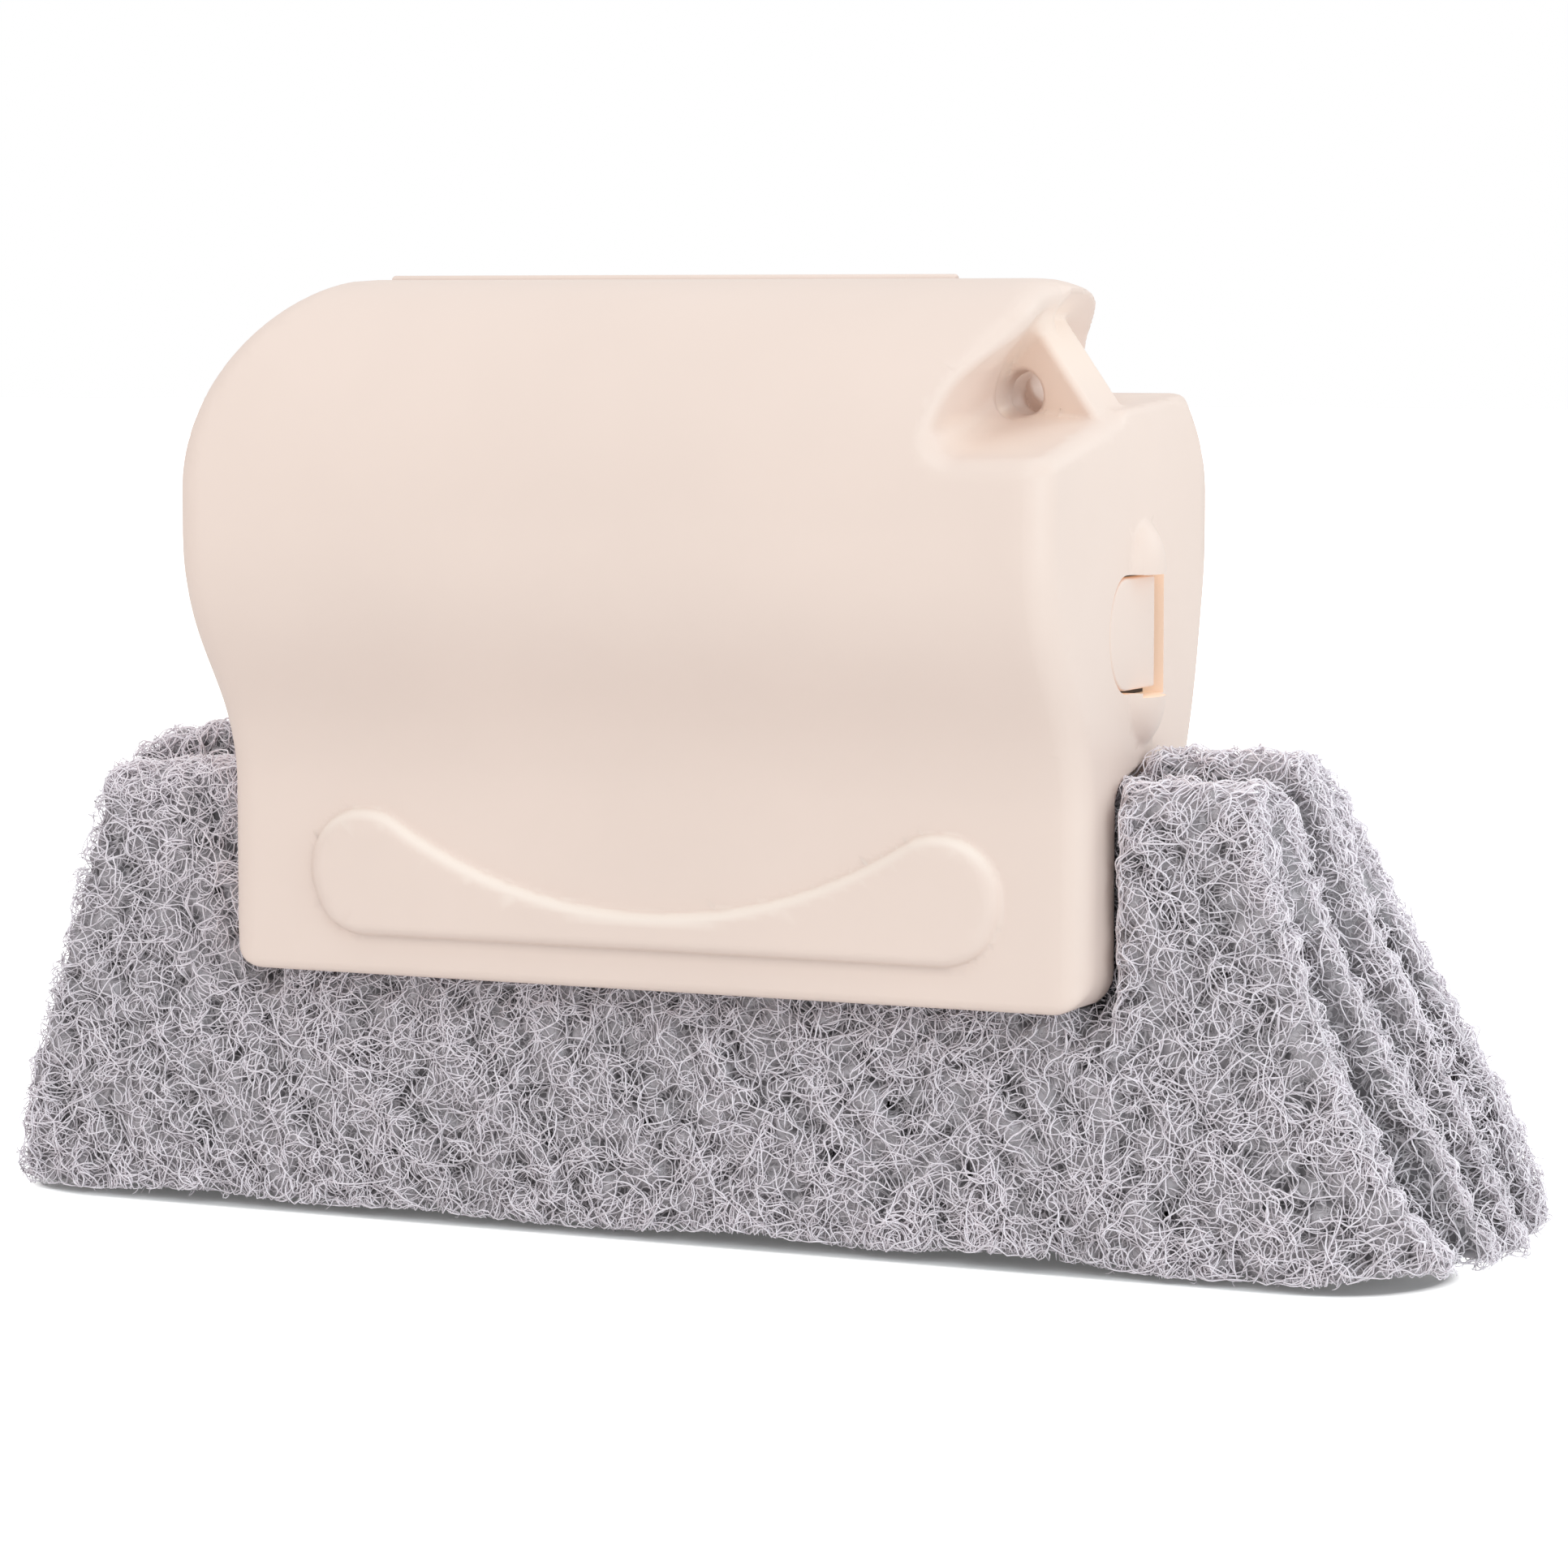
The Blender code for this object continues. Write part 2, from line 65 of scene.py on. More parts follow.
# The handle seen from its end
CHEEK_DEPTH = 11.2
BELLY_SWELL = 9.4
BELLY_Z = 64.7
WAIST_FALL = (24.0, 36.0)
DOME_Z = 68.0
DOME_REACH = 19.4
DOME_RISE = 20.1
RIDGE_FLAT = 1.2
RIDGE_Z = 88.1
STRIP = (-31.7, 26.3)
GROOVE_RADIUS = 0.85
WALL = 2.0
SEAM = 0.0006

# The recess at the right shoulder, and the web in it with the hanging hole
RECESS_WALL_X = 31.9
RECESS_LEAN_X = 33.7
SHELF_Z = 76.4
SHELF_FALL = (0.205, -0.075)
WEB_ROOT_X = 32.0
WEB_REACH = 7.45
WEB_HALF_ROOT = 0.25
WEB_WIDENING = 0.52
WEB_ROUND = 0.9
HOLE = (33.5, 77.9)
HOLE_RADIUS = 2.0
HOLE_HALF_DEPTH = 3.4

# The raised grip: two lobes and the arc between them
GRIP_X = 0.5
GRIP_Z = 33.2
GRIP_DEPTH = 12.3
LOBE_X = 29.15
LOBE_RADIUS = 6.1
ARC_RISE = 46.43
ARC_RADIUS = 48.73

# The latch tabs and the bosses above and below them
TAB_Z = 56.5
TAB_ROOT_Y = -1.7
TAB_ROOT_RADIUS = 4.0
TAB_GAP = 0.15
BOSS_END = 42.3
BOSS_Y = 2.7
BOSS_SIZE = (2.9, 4.0, 4.9)

# The inside: clamp ribs, stop shelves and the notches that let the pads out
RIB_HEIGHTS = (26.2, 31.2, 36.2)
RIB_HALF = 0.6
RIB_REACH = 37.0
RIB_DEPTH = 7.3
STOP_HEIGHTS = (45.6, 47.1)
STOP_REACH = 42.5
STOP_DEPTH = 1.5
NOTCH_HALF = 4.0
NOTCH_Z = 44.0

# The pads: each is one sheet folded double, so it has an outer and an inner leaf
SHEET = 3.4
OUTER_FACE = 6.95
INNER_FACE = 0.15
SLIT = (3.45, 3.65)
FOLD_MIDDLE = 3.55
FAN_Z = 30.0
FAN_SPREAD = 2.05
SLIT_TOP = 31.0
FOOT_LIFT = 0.75
CROWN = {FRONT: 43.8, REAR: 46.1}
# Where each leaf ends: (height, outer leaf, inner leaf), from the floor up.
RIGHT_ENDS = {
    FRONT: [(0, 78.6, 79.2), (4, 76.2, 78.3), (8, 71.6, 75.6), (17, 66.2, 70.2), (30, 60.4, 63.0)]
    + [(45, 56.8, 57.6)],
    REAR: [(0, 79.8, 79.6), (4, 79.6, 79.4), (8, 79.0, 77.8), (17, 75.4, 73.4), (30, 68.0, 66.4)]
    + [(46.2, 58.4, 58.6)],
}
LEFT_ENDS = {
    FRONT: [(0, -69.7, -69.8), (11, -68.6, -68.8), (30, -63.6, -64.0), (45, -59.3, -59.6)],
    REAR: [(0, -70.0, -69.6), (11, -69.0, -68.8), (30, -64.4, -64.2), (46, -60.6, -60.4)],
}
PAD_LOW = (-72.5, -0.6, -0.6)
PAD_HIGH = (82.5, 11.2, 48.0)
CORE_DEPTH = 0.75
CORE_VOXEL = 0.8

# Fibres
LOWEST = 0.12
THICKNESS = (0.06, 0.1)
FINE_THICKNESS = (0.045, 0.08)
FIBRE_STEP = 0.56
FIBRE_POINTS = 12
FIBRE_PIECES = 4
FIBRES_EACH = {FRONT: 2600, REAR: 1850}
END_STEP = 0.34
END_POINTS = 8
END_FIBRES = 3200
TUFT_POINTS = 5
TUFTS_EACH = 2800

# Colours
CREAM = (0.82, 0.664, 0.588)
# Painted light: a deeper, warmer tone inside the recess.
CREAM_PAINTED_RECESS_LIGHT = (0.85, 0.655, 0.53)
# Painted highlight on the grip's upturned rim.
PAINTED_RIM_HIGHLIGHT = (0.93, 0.82, 0.74)
SPECK = (0.72, 0.66, 0.62)
# Painted glow for light through the thin walls round the tabs.
THIN_WALL_GLOW = (0.32, 0.20, 0.11)
# Painted glow inside the recess, for the light that bounces there.
RECESS_GLOW = (0.17, 0.185, 0.175)
# Painted shade in the core's pits and in the gaps between the leaves.
PORE_SHADE_GREY = (0.085, 0.079, 0.084)
FELT_GREY = (0.5, 0.465, 0.488)
DARK_FIBRE = (0.74, 0.687, 0.722)
PALE_FIBRE = (1.0, 0.93, 0.975)

# The camera and the studio, in metres and degrees
AZIMUTH = 25.14
ELEVATION = 5.11
DISTANCE = 0.48998
AIM_SIDEWAYS = 0.00821
AIM_HEIGHT = 0.04142
FOCAL_PIXELS = 6500
FRAME_PIXELS = 1932
SENSOR = 36
COOL = (0.76, 0.94, 1.0)
WARM = (1.0, 0.94, 0.89)
LAMPS = [
    ("top_front_softbox", (0.05, -0.5, 0.8), (0.6, 0.6), 1.48, COOL),
    ("top_softbox", (0.0, 0.25, 0.95), (0.7, 0.7), 0.95, COOL),
    ("right_softbox", (0.75, -0.35, 0.14), (0.6, 0.6), 2.25, COOL),
    ("low_front_softbox", (0.0, -0.95, 0.0), (0.9, 0.3), 0.75, WARM),
    ("back_softbox", (0.55, 0.6, 0.5), (0.5, 0.5), 0.9, COOL),
]
# The painted contact shadow: a bar with round ends under the leaves, soft only at its rim.
SHADOW_HALF_LENGTH = 0.0605
SHADOW_MIDDLE = (-0.0044, 0.0015, 0.0)
SHADOW_RIM = (0.0105, 0.0125)
SHADOW_FADE = (0.0112, 0.0128)
FLOOR_TONE = 0.88


# Distances. Each field is negative inside and grows by about one for each millimetre.


def eased(t):
    """A smooth step from 0 to 1."""
    t = np.clip(t, 0.0, 1.0)
    return t * t * (3 - 2 * t)


def meet(a, b, radius):
    """What two forms share, with the edge between them rounded."""
    u = np.maximum(a + radius, 0)
    v = np.maximum(b + radius, 0)
    return np.minimum(np.maximum(a, b), -radius) + np.sqrt(u * u + v * v)


def join(a, b, radius):
    """Both forms together, with a fillet where they touch."""
    u = np.maximum(radius - a, 0)
    v = np.maximum(radius - b, 0)
    return np.maximum(np.minimum(a, b), radius) - np.sqrt(u * u + v * v)


def side_profile(y, z):
    """The handle seen from its end: dome, belly, waist and cheeks."""
    back = eased(y / 8) * (0.9 * eased((z - 47) / 12) - 0.35 * eased((z - 40) / 3))
    out = np.abs(y) + back
    height = np.where(y < 0, *WAIST_FALL)
    t = np.clip(1 + (z - BELLY_Z) / height, 0, 1)
    waist = np.where(y < 0, 0.7 * eased(1 - np.abs(z - 55.5) / 9), 0)
    depth = CHEEK_DEPTH + BELLY_SWELL * eased(t) + waist
    slope = BELLY_SWELL * 6 * t * (1 - t) / height
    low = (out - depth) / np.sqrt(1 + slope * slope)
    across = np.maximum(out - RIDGE_FLAT, 0)
    rise = np.maximum(z - DOME_Z, 0)
    k0 = np.sqrt((across / DOME_REACH) ** 2 + (rise / DOME_RISE) ** 2)
    k1 = np.sqrt((across / DOME_REACH**2) ** 2 + (rise / DOME_RISE**2) ** 2)
    dome = np.where(k1 > 1e-5, k0 * (k0 - 1) / np.maximum(k1, 1e-5), -19.0)
    return np.where(z > DOME_Z, dome, low)


def from_middle(x):
    """Distance from the middle, with the left end a little longer."""
    return np.abs(x) - LEFT_EXTRA * eased(-x / 10)


def front_outline(x, z, feet=True):
    """The handle seen from the front: long curves at the top corners, small ones at the feet."""
    out = from_middle(x)
    flat = out - END_X
    if feet:
        corner_x = END_X - FOOT_RADIUS
        corner_z = FOOT_Z + FOOT_RADIUS
        flat = np.maximum(flat, FOOT_Z - z)
        foot = np.hypot(out - corner_x, corner_z - z) - FOOT_RADIUS
        flat = np.where((z < corner_z) & (out > corner_x), foot, flat)
    fuller = 0.7 * eased((z - 77) / 6) * (x > 0)
    shoulder = np.hypot(out - SHOULDER_X, z - SHOULDER_Z) - SHOULDER_RADIUS - fuller
    return np.where((z > SHOULDER_Z) & (out > SHOULDER_X), shoulder, flat)


def recess_corner(x, y, z):
    """The corner of the right shoulder: right of a wall that leans out, and above the shelf."""
    at_web = eased((y + 5.5) / 3) * (1 - eased((y - 1) / 3))
    wall = RECESS_WALL_X - 0.4 * at_web - x
    slant = RECESS_LEAN_X - 0.8 * eased((y + 2) / 3) + 2.3 * (1 - eased((y + 12) / 9))
    lean = (slant + 0.87 * (z - 82) - x) * 0.754
    fall = np.where(y < 0, *SHELF_FALL)
    shelf = (SHELF_Z - fall * np.abs(y) - z) / np.sqrt(1 + fall * fall)
    return meet(meet(wall, lean, 2.0 - 1.2 * at_web), shelf, 2.6 - 1.8 * at_web)


def hole_web(x, y, z):
    """The web across the recess, thicker towards its free edge."""
    reach = (x - WEB_ROOT_X) * 0.818 + (z - SHELF_Z) * 0.576
    edge = reach - WEB_REACH
    face = (np.abs(y) - WEB_HALF_ROOT - WEB_WIDENING * np.maximum(reach, 0)) * 0.88
    return meet(edge, face, WEB_ROUND)


def grip_outline(x, z):
    """Two lobes, a straight foot and the hollow arc that touches both lobes."""
    across = np.abs(x - GRIP_X)
    rise = z - GRIP_Z
    lobe = np.hypot(across - LOBE_X, rise) - LOBE_RADIUS
    arc = ARC_RADIUS - np.hypot(across, rise - ARC_RISE)
    bar = np.maximum(np.maximum(arc, -LOBE_RADIUS - rise), across - LOBE_X)
    beside = across * ARC_RISE > LOBE_X * (ARC_RISE - rise)
    return np.where(beside, lobe, np.minimum(lobe, bar))


def boss_field(x, y, z):
    """A long egg in each end wall, which the latch tab's slot cuts in two."""
    tip = np.maximum(np.abs(z - TAB_Z) - 5.6, 0)
    end = from_middle(x)
    length, depth, height = BOSS_SIZE
    boss = [(end - BOSS_END) / length, (y - BOSS_Y) / depth, tip / height]
    k0 = np.sqrt(sum(part * part for part in boss)) + 1e-4
    steep = [(boss[0] / length) ** 2, (boss[1] / depth) ** 2, (boss[2] / height) ** 2]
    k1 = np.sqrt(steep[0] + steep[1] + steep[2]) + 1e-4
    return np.maximum(k0 * (k0 - 1) / k1, 42.0 - end)


def rib_field(x, y, z):
    """The clamp ribs that bite the pads, and the shelf above them that stops the folds."""
    clamp = np.full_like(x, 50.0)
    for height in RIB_HEIGHTS:
        rib = np.maximum(np.abs(z - height) - RIB_HALF, np.abs(x) - RIB_REACH)
        clamp = np.minimum(clamp, np.maximum(rib, RIB_DEPTH - np.abs(y)))
    stop_z = np.where(y < 0, *STOP_HEIGHTS)
    stop = np.maximum(np.abs(z - stop_z) - RIB_HALF, STOP_DEPTH - np.abs(y))
    return np.minimum(clamp, np.maximum(stop, np.abs(x) - STOP_REACH))


def handle_field(x, y, z):
    """The whole handle in one piece, hollow, with every lip and corner rounded."""
    profile = side_profile(y, z)
    edge_radius = 0.8 + 1.9 * eased((z - 23.6) / 2.8)
    body = meet(profile, front_outline(x, z), edge_radius)
    grip = meet(grip_outline(x, z), -y - GRIP_DEPTH, 1.0 + 0.8 * eased((z - 28) / 3))
    body = join(body, np.maximum(grip, y + 10.5), 0.25)
    body = join(body, boss_field(x, y, z), 0.25)

    corner = recess_corner(x, y, z)
    front = 1 - eased((y + 1.5) / 2.5)
    high = eased((z - 80.5) / 3.5)
    kept = join(-corner, hole_web(x, y, z), 0.4 + 1.2 * high * front)
    body = meet(body, kept, 0.6 + (0.9 + 0.9 * high) * front)

    hollow = meet(profile + WALL, front_outline(x, z, feet=False) + WALL, 0.6)
    hollow = np.maximum(hollow, WALL - corner)
    shell = meet(body, -hollow, 0.35)

    shell = join(shell, np.maximum(rib_field(x, y, z), body + 1.0), 0.3)

    notch = meet(np.abs(y) - NOTCH_HALF, z - NOTCH_Z - 0.28 * y, 1.6)
    shell = meet(shell, -np.maximum(notch, 38.0 - np.abs(x)), 0.4)
    from_hole = np.hypot(x - HOLE[0], z - HOLE[1]) - HOLE_RADIUS
    hole = np.maximum(from_hole, np.abs(y) - HOLE_HALF_DEPTH)
    return meet(shell, -hole, 0.35)


def waves(seed, shortest, longest, count=18):
    """A smooth random field: plane waves of many lengths and directions."""
    rng = np.random.default_rng(seed)
    ways = rng.normal(size=(count, 3))
    ways /= np.linalg.norm(ways, axis=1)[:, None]
    ways *= (2 * np.pi / rng.uniform(shortest, longest, count))[:, None]
    turns = rng.uniform(0, 2 * np.pi, count)

    def field(x, y, z):
        total = 0.0
        for way, turn in zip(ways, turns):
            total = total + np.sin(way[0] * x + way[1] * y + way[2] * z + turn)
        return total / math.sqrt(count / 2)

    return field


billow = waves(3, 14, 40)
lumps = waves(5, 1.6, 4.5)


def pinch(x):
    """1 where an end wall of the handle holds the pads, 0 away from it."""
    return 1 - eased((np.abs(np.abs(x) - 42.4) - 1.1) / 1.7)


def crown(x, side):
    """How high the fold stands along the pad: lower at its left end."""
    if side == FRONT:
        top = CROWN[side] - 1.2 * eased((-x - 43) / 4) - 1.0 * eased((-x - 46) / 15)
    else:
        top = CROWN[side] - 2.6 * eased((-x - 49) / 13)
    return top + (np.minimum(top, 43.5 + 0.4 * side) - top) * pinch(x)


def pad_section(x, y, z, side):
    """One folded sheet: a rounded fold over two leaves that part towards the floor."""
    fan = 1 - eased(z / FAN_Z)
    flare = 1 + 0.25 * eased((x - 40) / 35)
    drift = 0.35 * billow(x, 4.0 * side, z) * eased((np.abs(x) - 38) / 14 + eased((24 - z) / 12))
    out = side * y + side * 0.5 * drift * eased((30 - z) / 20)
    squeeze = 1 - 0.47 * pinch(x) * eased((z - 19) / 6)
    out = out / squeeze
    outer = OUTER_FACE + FAN_SPREAD * fan * flare
    inner = INNER_FACE + 0.3 * fan
    slit_out = SLIT[1] + 1.95 * fan * flare
    slit_in = SLIT[0] + 0.25 * fan
    top = crown(x, side)
    fold = np.hypot(out - FOLD_MIDDLE, z - top + SHEET) - SHEET
    leaves = np.maximum(out - outer, inner - out)
    section = np.where(z > top - SHEET, fold, leaves)
    slit = np.maximum(np.maximum(out - slit_out, slit_in - out), z - SLIT_TOP)
    return np.maximum(section, -slit) * squeeze


def pad_cut(x, y, z, side):
    """The sheet's cut edges: both ends of each leaf, and their feet."""
    which = eased(side * y - 3.05)
    right, left = [
        np.interp(z, *np.array(ends[side]).T[[0, 2]]) * (1 - which)
        + np.interp(z, *np.array(ends[side]).T[[0, 1]]) * which
        for ends in (RIGHT_ENDS, LEFT_ENDS)
    ]
    ends = np.maximum((x - right - 0.3) * 0.9, (left - x) * 0.97)
    if side == FRONT:
        rise = 2.0 * eased((x - 62) / 15)
    else:
        rise = (1.7 + 1.0 * which) * eased((x - 50) / 20)
    foot = FOOT_LIFT + 0.2 * billow(x, 0.0, 9.0 * side) + rise - z
    return meet(ends, foot, 2.0)


def pad_field(x, y, z, side):
    return meet(pad_section(x, y, z, side), pad_cut(x, y, z, side), 0.7)


# Meshes


def gradient(field, points, step=0.05):
    """The field at some points, and the way it grows fastest there."""
    x, y, z = points.T
    value = field(x, y, z)
    way = np.stack(
        [
            field(x + step, y, z) - field(x - step, y, z),
            field(x, y + step, z) - field(x, y - step, z),
            field(x, y, z + step) - field(x, y, z - step),
        ],
        axis=1,
    )
    length = np.linalg.norm(way, axis=1)[:, None]
    return value, way / np.maximum(length, 1e-9), length[:, 0] / (2 * step)


def skin(field, low, high, voxel, merge=0.0, passes=2):
    """Points and faces of the surface where a field is zero."""
    axes = [np.arange(a, b, voxel, dtype=np.float32) for a, b in zip(low, high)]
    x, y, z = np.meshgrid(*axes, indexing="ij")
    grid = openvdb.FloatGrid(5.0)
    grid.copyFromArray(np.clip(field(x, y, z), -5.0, 4.9).astype(np.float32))
    points, triangles, quads = grid.convertToPolygons(isovalue=0.0, adaptivity=merge)
    points = points.astype(np.float64) * voxel + np.array([axis[0] for axis in axes])
    for _ in range(passes):
        value, way, rate = gradient(field, points)
        move = np.clip(value / np.maximum(rate, 0.4), -voxel / 2, voxel / 2)
        points = points - way * move[:, None]
    faces = [list(face) for face in quads] + [list(face) for face in triangles]
    return points, faces


def place(points):
    """From millimetres about the handle's middle to the frame's metres."""
    return (points + np.array([HANDLE_MIDDLE, 0, 0])) * MM


def add_piece(name, mesh):
    piece = bpy.data.objects.new(name, mesh)
    bpy.context.scene.collection.objects.link(piece)
    return piece


def face_outwards(bm):
    if bm.calc_volume(signed=True) < 0:
        bmesh.ops.reverse_faces(bm, faces=bm.faces)


def alone(piece):
    """Selects one piece and nothing else."""
    bpy.ops.object.select_all(action="DESELECT")
    piece.select_set(True)
    bpy.context.view_layer.objects.active = piece


def finish(piece, body, slot, *nodes):
    """Says what a piece moves with and hides the solids it stands for; the slot it is given is not
    used.
    """
    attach(piece, body)
    if nodes:
        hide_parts(*nodes)
    return piece


def cut_away(piece, cutters):
    """Takes several cutters out of a piece at once."""
    cutter = cutters[0]
    alone(cutter)
    for other in cutters[1:]:
        other.select_set(True)
    bpy.ops.object.join()
    alone(piece)
    step = piece.modifiers.new("cut", "BOOLEAN")
    step.operation = "DIFFERENCE"
    step.solver = "EXACT"
    step.object = cutter
    bpy.ops.object.modifier_apply(modifier=step.name)
    bpy.data.objects.remove(cutter)


def prism(name, outline, x0, x1):
    """A solid from an outline in Y and Z, drawn out along X."""
    bm = bmesh.new()
    rings = [
        [bm.verts.new(place(np.array([[x, y, z]]))[0]) for y, z in outline] for x in (x0, x1)
    ]
    count = len(outline)
    for i in range(count):
        j = (i + 1) % count
        bm.faces.new((rings[0][i], rings[0][j], rings[1][j], rings[1][i]))
    bm.faces.new(rings[0][::-1])
    bm.faces.new(rings[1])
    bmesh.ops.recalc_face_normals(bm, faces=bm.faces)
    mesh = bpy.data.meshes.new(name)
    bm.to_mesh(mesh)
    bm.free()
    return add_piece(name, mesh)


def tab_slot(end, gap):
    """The slot round a latch tab, square at the tab's free end and half round at its root."""
    half = 5.0 + 2 * gap
    outline = [(5.6, -half), (5.6, half)]
    for i in range(33):
        turn = math.pi / 2 + math.pi * i / 32
        y = TAB_ROOT_Y + (TAB_ROOT_RADIUS + gap) * math.cos(turn)
        outline.append((y, half * math.sin(turn)))
    outline = [(y, TAB_Z + z) for y, z in outline]
    return prism("tab_slot", outline, end * 39.5, end * 47.5)


def tab_window(end):
    """The opening in the rear half that a latch tab reaches into."""
    outline = [(-1.0, 50.8), (7.4, 50.8), (7.4, 61.75), (-1.0, 61.75)]
    return prism("tab_window", outline, end * 39.5, end * 47.5)


def strip_groove():
    """Room for the hinge strip along the ridge."""
    turns = [2 * math.pi * i / 24 for i in range(24)]
    outline = [
        (GROOVE_RADIUS * math.cos(turn), RIDGE_Z + GROOVE_RADIUS * math.sin(turn)) for turn in turns
    ]
    return prism("strip_groove", outline, STRIP[0] - 0.3, STRIP[1] + 0.3)


def write_values(mesh, name, domain, values):
    """Stores one number for each point or face, for a material to read."""
    layer = mesh.attributes.new(name, "FLOAT", domain)
    layer.data.foreach_set("value", values.astype(np.float32))


def local_points(mesh):
    """A mesh's vertices in millimetres about the handle's middle."""
    points = np.empty(len(mesh.vertices) * 3)
    mesh.vertices.foreach_get("co", points)
    return points.reshape(-1, 3) / MM - np.array([HANDLE_MIDDLE, 0, 0])


def mark_painted_light(mesh):
    """Writes the masks for painted light: a deeper tone and a glow where the recess deepens, a
    painted highlight where the grip's rim turns up, and a painted glow on the thin walls.
    """
    x, y, z = local_points(mesh).T
    outer = meet(side_profile(y, z), front_outline(x, z), 2.7)
    share = 0.2 + 0.3 * (1 - eased((np.abs(y) - 2) / 4))
    # Painted light: the deeper into the recess, the deeper the tone and the stronger the glow; none
    # on the hole's wall.
    depth = share * eased((-outer - 0.6) / 4.0)
    from_hole = np.hypot(x - HOLE[0], z - HOLE[1]) - HOLE_RADIUS
    depth = depth * eased((from_hole - 0.05) / 0.45)
    _, way, _ = gradient(handle_field, np.stack([x, y, z], axis=1), 0.1)
    # Painted highlight: the grip's raised rim is made paler where it faces up.
    raised = eased((-y - 11.3) / 0.35) * ((y > -12.5) & (z < 40) & (z > 26) & (np.abs(x) < 40))
    edge = 0.85 * raised * eased((way[:, 2] - 0.1) / 0.5)
    write_values(mesh, "depth", "POINT", depth)
    write_values(mesh, "edge", "POINT", edge)
    centres = np.empty(len(mesh.polygons) * 3)
    mesh.polygons.foreach_get("center", centres)
    x, y, z = (centres.reshape(-1, 3) / MM - np.array([HANDLE_MIDDLE, 0, 0])).T
    # Painted glow: the cut walls round the tabs are marked to glow.
    at_tab = (np.abs(x) > 38) & (np.abs(z - TAB_Z) < 6) & (np.abs(y) > 0.05)
    walls = (handle_field(x, y, z) < -0.25) & at_tab
    write_values(mesh, "painted_glow_mask", "FACE", walls)


def true_normals(mesh, field):
    """Shades by the field's own slope, and leaves cut faces flat."""
    points = local_points(mesh)
    value, way, _ = gradient(field, points, 0.08)
    mesh.shade_smooth()
    corners = np.empty(len(mesh.loops), np.int32)
    mesh.loops.foreach_get("vertex_index", corners)
    flat = np.empty(len(mesh.polygons) * 3)
    mesh.polygons.foreach_get("normal", flat)
    sizes = np.empty(len(mesh.polygons), np.int32)
    mesh.polygons.foreach_get("loop_total", sizes)
    flat = np.repeat(flat.reshape(-1, 3), sizes, axis=0)
    chosen = way[corners]
    off = ((chosen * flat).sum(1) < 0.75) | (np.abs(value[corners]) > 0.08)
    chosen[off] = flat[off]
    mesh.normals_split_custom_set(chosen)


def handle_half(name, side, points, faces, body, cutters, nodes):
    """One half of the moulding, cut from the whole with a hairline seam."""
    bm = bmesh.new()
    verts = [bm.verts.new(point) for point in place(points)]
    for face in faces:
        bm.faces.new([verts[i] for i in face])
    face_outwards(bm)
    geometry = bm.verts[:] + bm.edges[:] + bm.faces[:]
    bmesh.ops.bisect_plane(
        bm,
        geom=geometry,
        plane_co=(0, side * SEAM * MM, 0),
        plane_no=(0, side, 0),
        clear_inner=True,
        dist=1e-8,
    )
    rim = [e for e in bm.edges if e.is_boundary]
    bmesh.ops.triangle_fill(bm, edges=rim, use_beauty=True, normal=(0, -side, 0))
    bmesh.ops.recalc_face_normals(bm, faces=bm.faces)
    face_outwards(bm)
    mesh = bpy.data.meshes.new(name)
    bm.to_mesh(mesh)
    bm.free()
    piece = add_piece(name, mesh)
    cut_away(piece, cutters)
    true_normals(piece.data, handle_field)
    mark_painted_light(piece.data)
    piece.data.materials.append(cream)
    return finish(piece, body, "cream_polypropylene", *nodes)


def softened(name, node, width, body, shift=(0, 0, 0)):
    """A copy of a small solid with its edges rounded."""
    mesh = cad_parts[node].data.copy()
    mesh.transform(Matrix.Translation(Vector(shift) * MM))
    piece = add_piece(name, mesh)
    mesh.materials.clear()
    mesh.materials.append(cream)
    bm = bmesh.new()
    bm.from_mesh(mesh)
    bmesh.ops.remove_doubles(bm, verts=bm.verts, dist=1e-6)
    bmesh.ops.dissolve_limit(bm, angle_limit=math.radians(1), verts=bm.verts, edges=bm.edges)
    bm.to_mesh(mesh)
    bm.free()
    mesh.normals_split_custom_set([(0, 0, 0)] * len(mesh.loops))
    alone(piece)
    step = piece.modifiers.new("edges", "BEVEL")
    step.width = width * MM
    step.segments = 3
    step.limit_method = "ANGLE"
    step.angle_limit = math.radians(40)
    bpy.ops.object.modifier_apply(modifier=step.name)
    mesh = piece.data
    mesh.shade_smooth()
    mesh.set_sharp_from_angle(angle=math.radians(35))
    return finish(piece, body, "cream_polypropylene", node)


# Fibres


def scatter(field, low, high, count, weight, rng):
    """Points spread over a field's surface, thinned by a weight from 0 to 1."""
    found = []
    total = 0
    while total < count:
        points = rng.uniform(low, high, size=(40000, 3))
        near = points[np.abs(field(*points.T)) < 0.7]
        for _ in range(2):
            value, way, rate = gradient(field, near)
            near = near - way * (value / np.maximum(rate, 0.4))[:, None]
        value, way, _ = gradient(field, near)
        keep = (np.abs(value) < 0.1) & (rng.uniform(size=len(near)) < weight(near, way))
        found.append(near[keep])
        total += keep.sum()
    return np.concatenate(found)[:count]


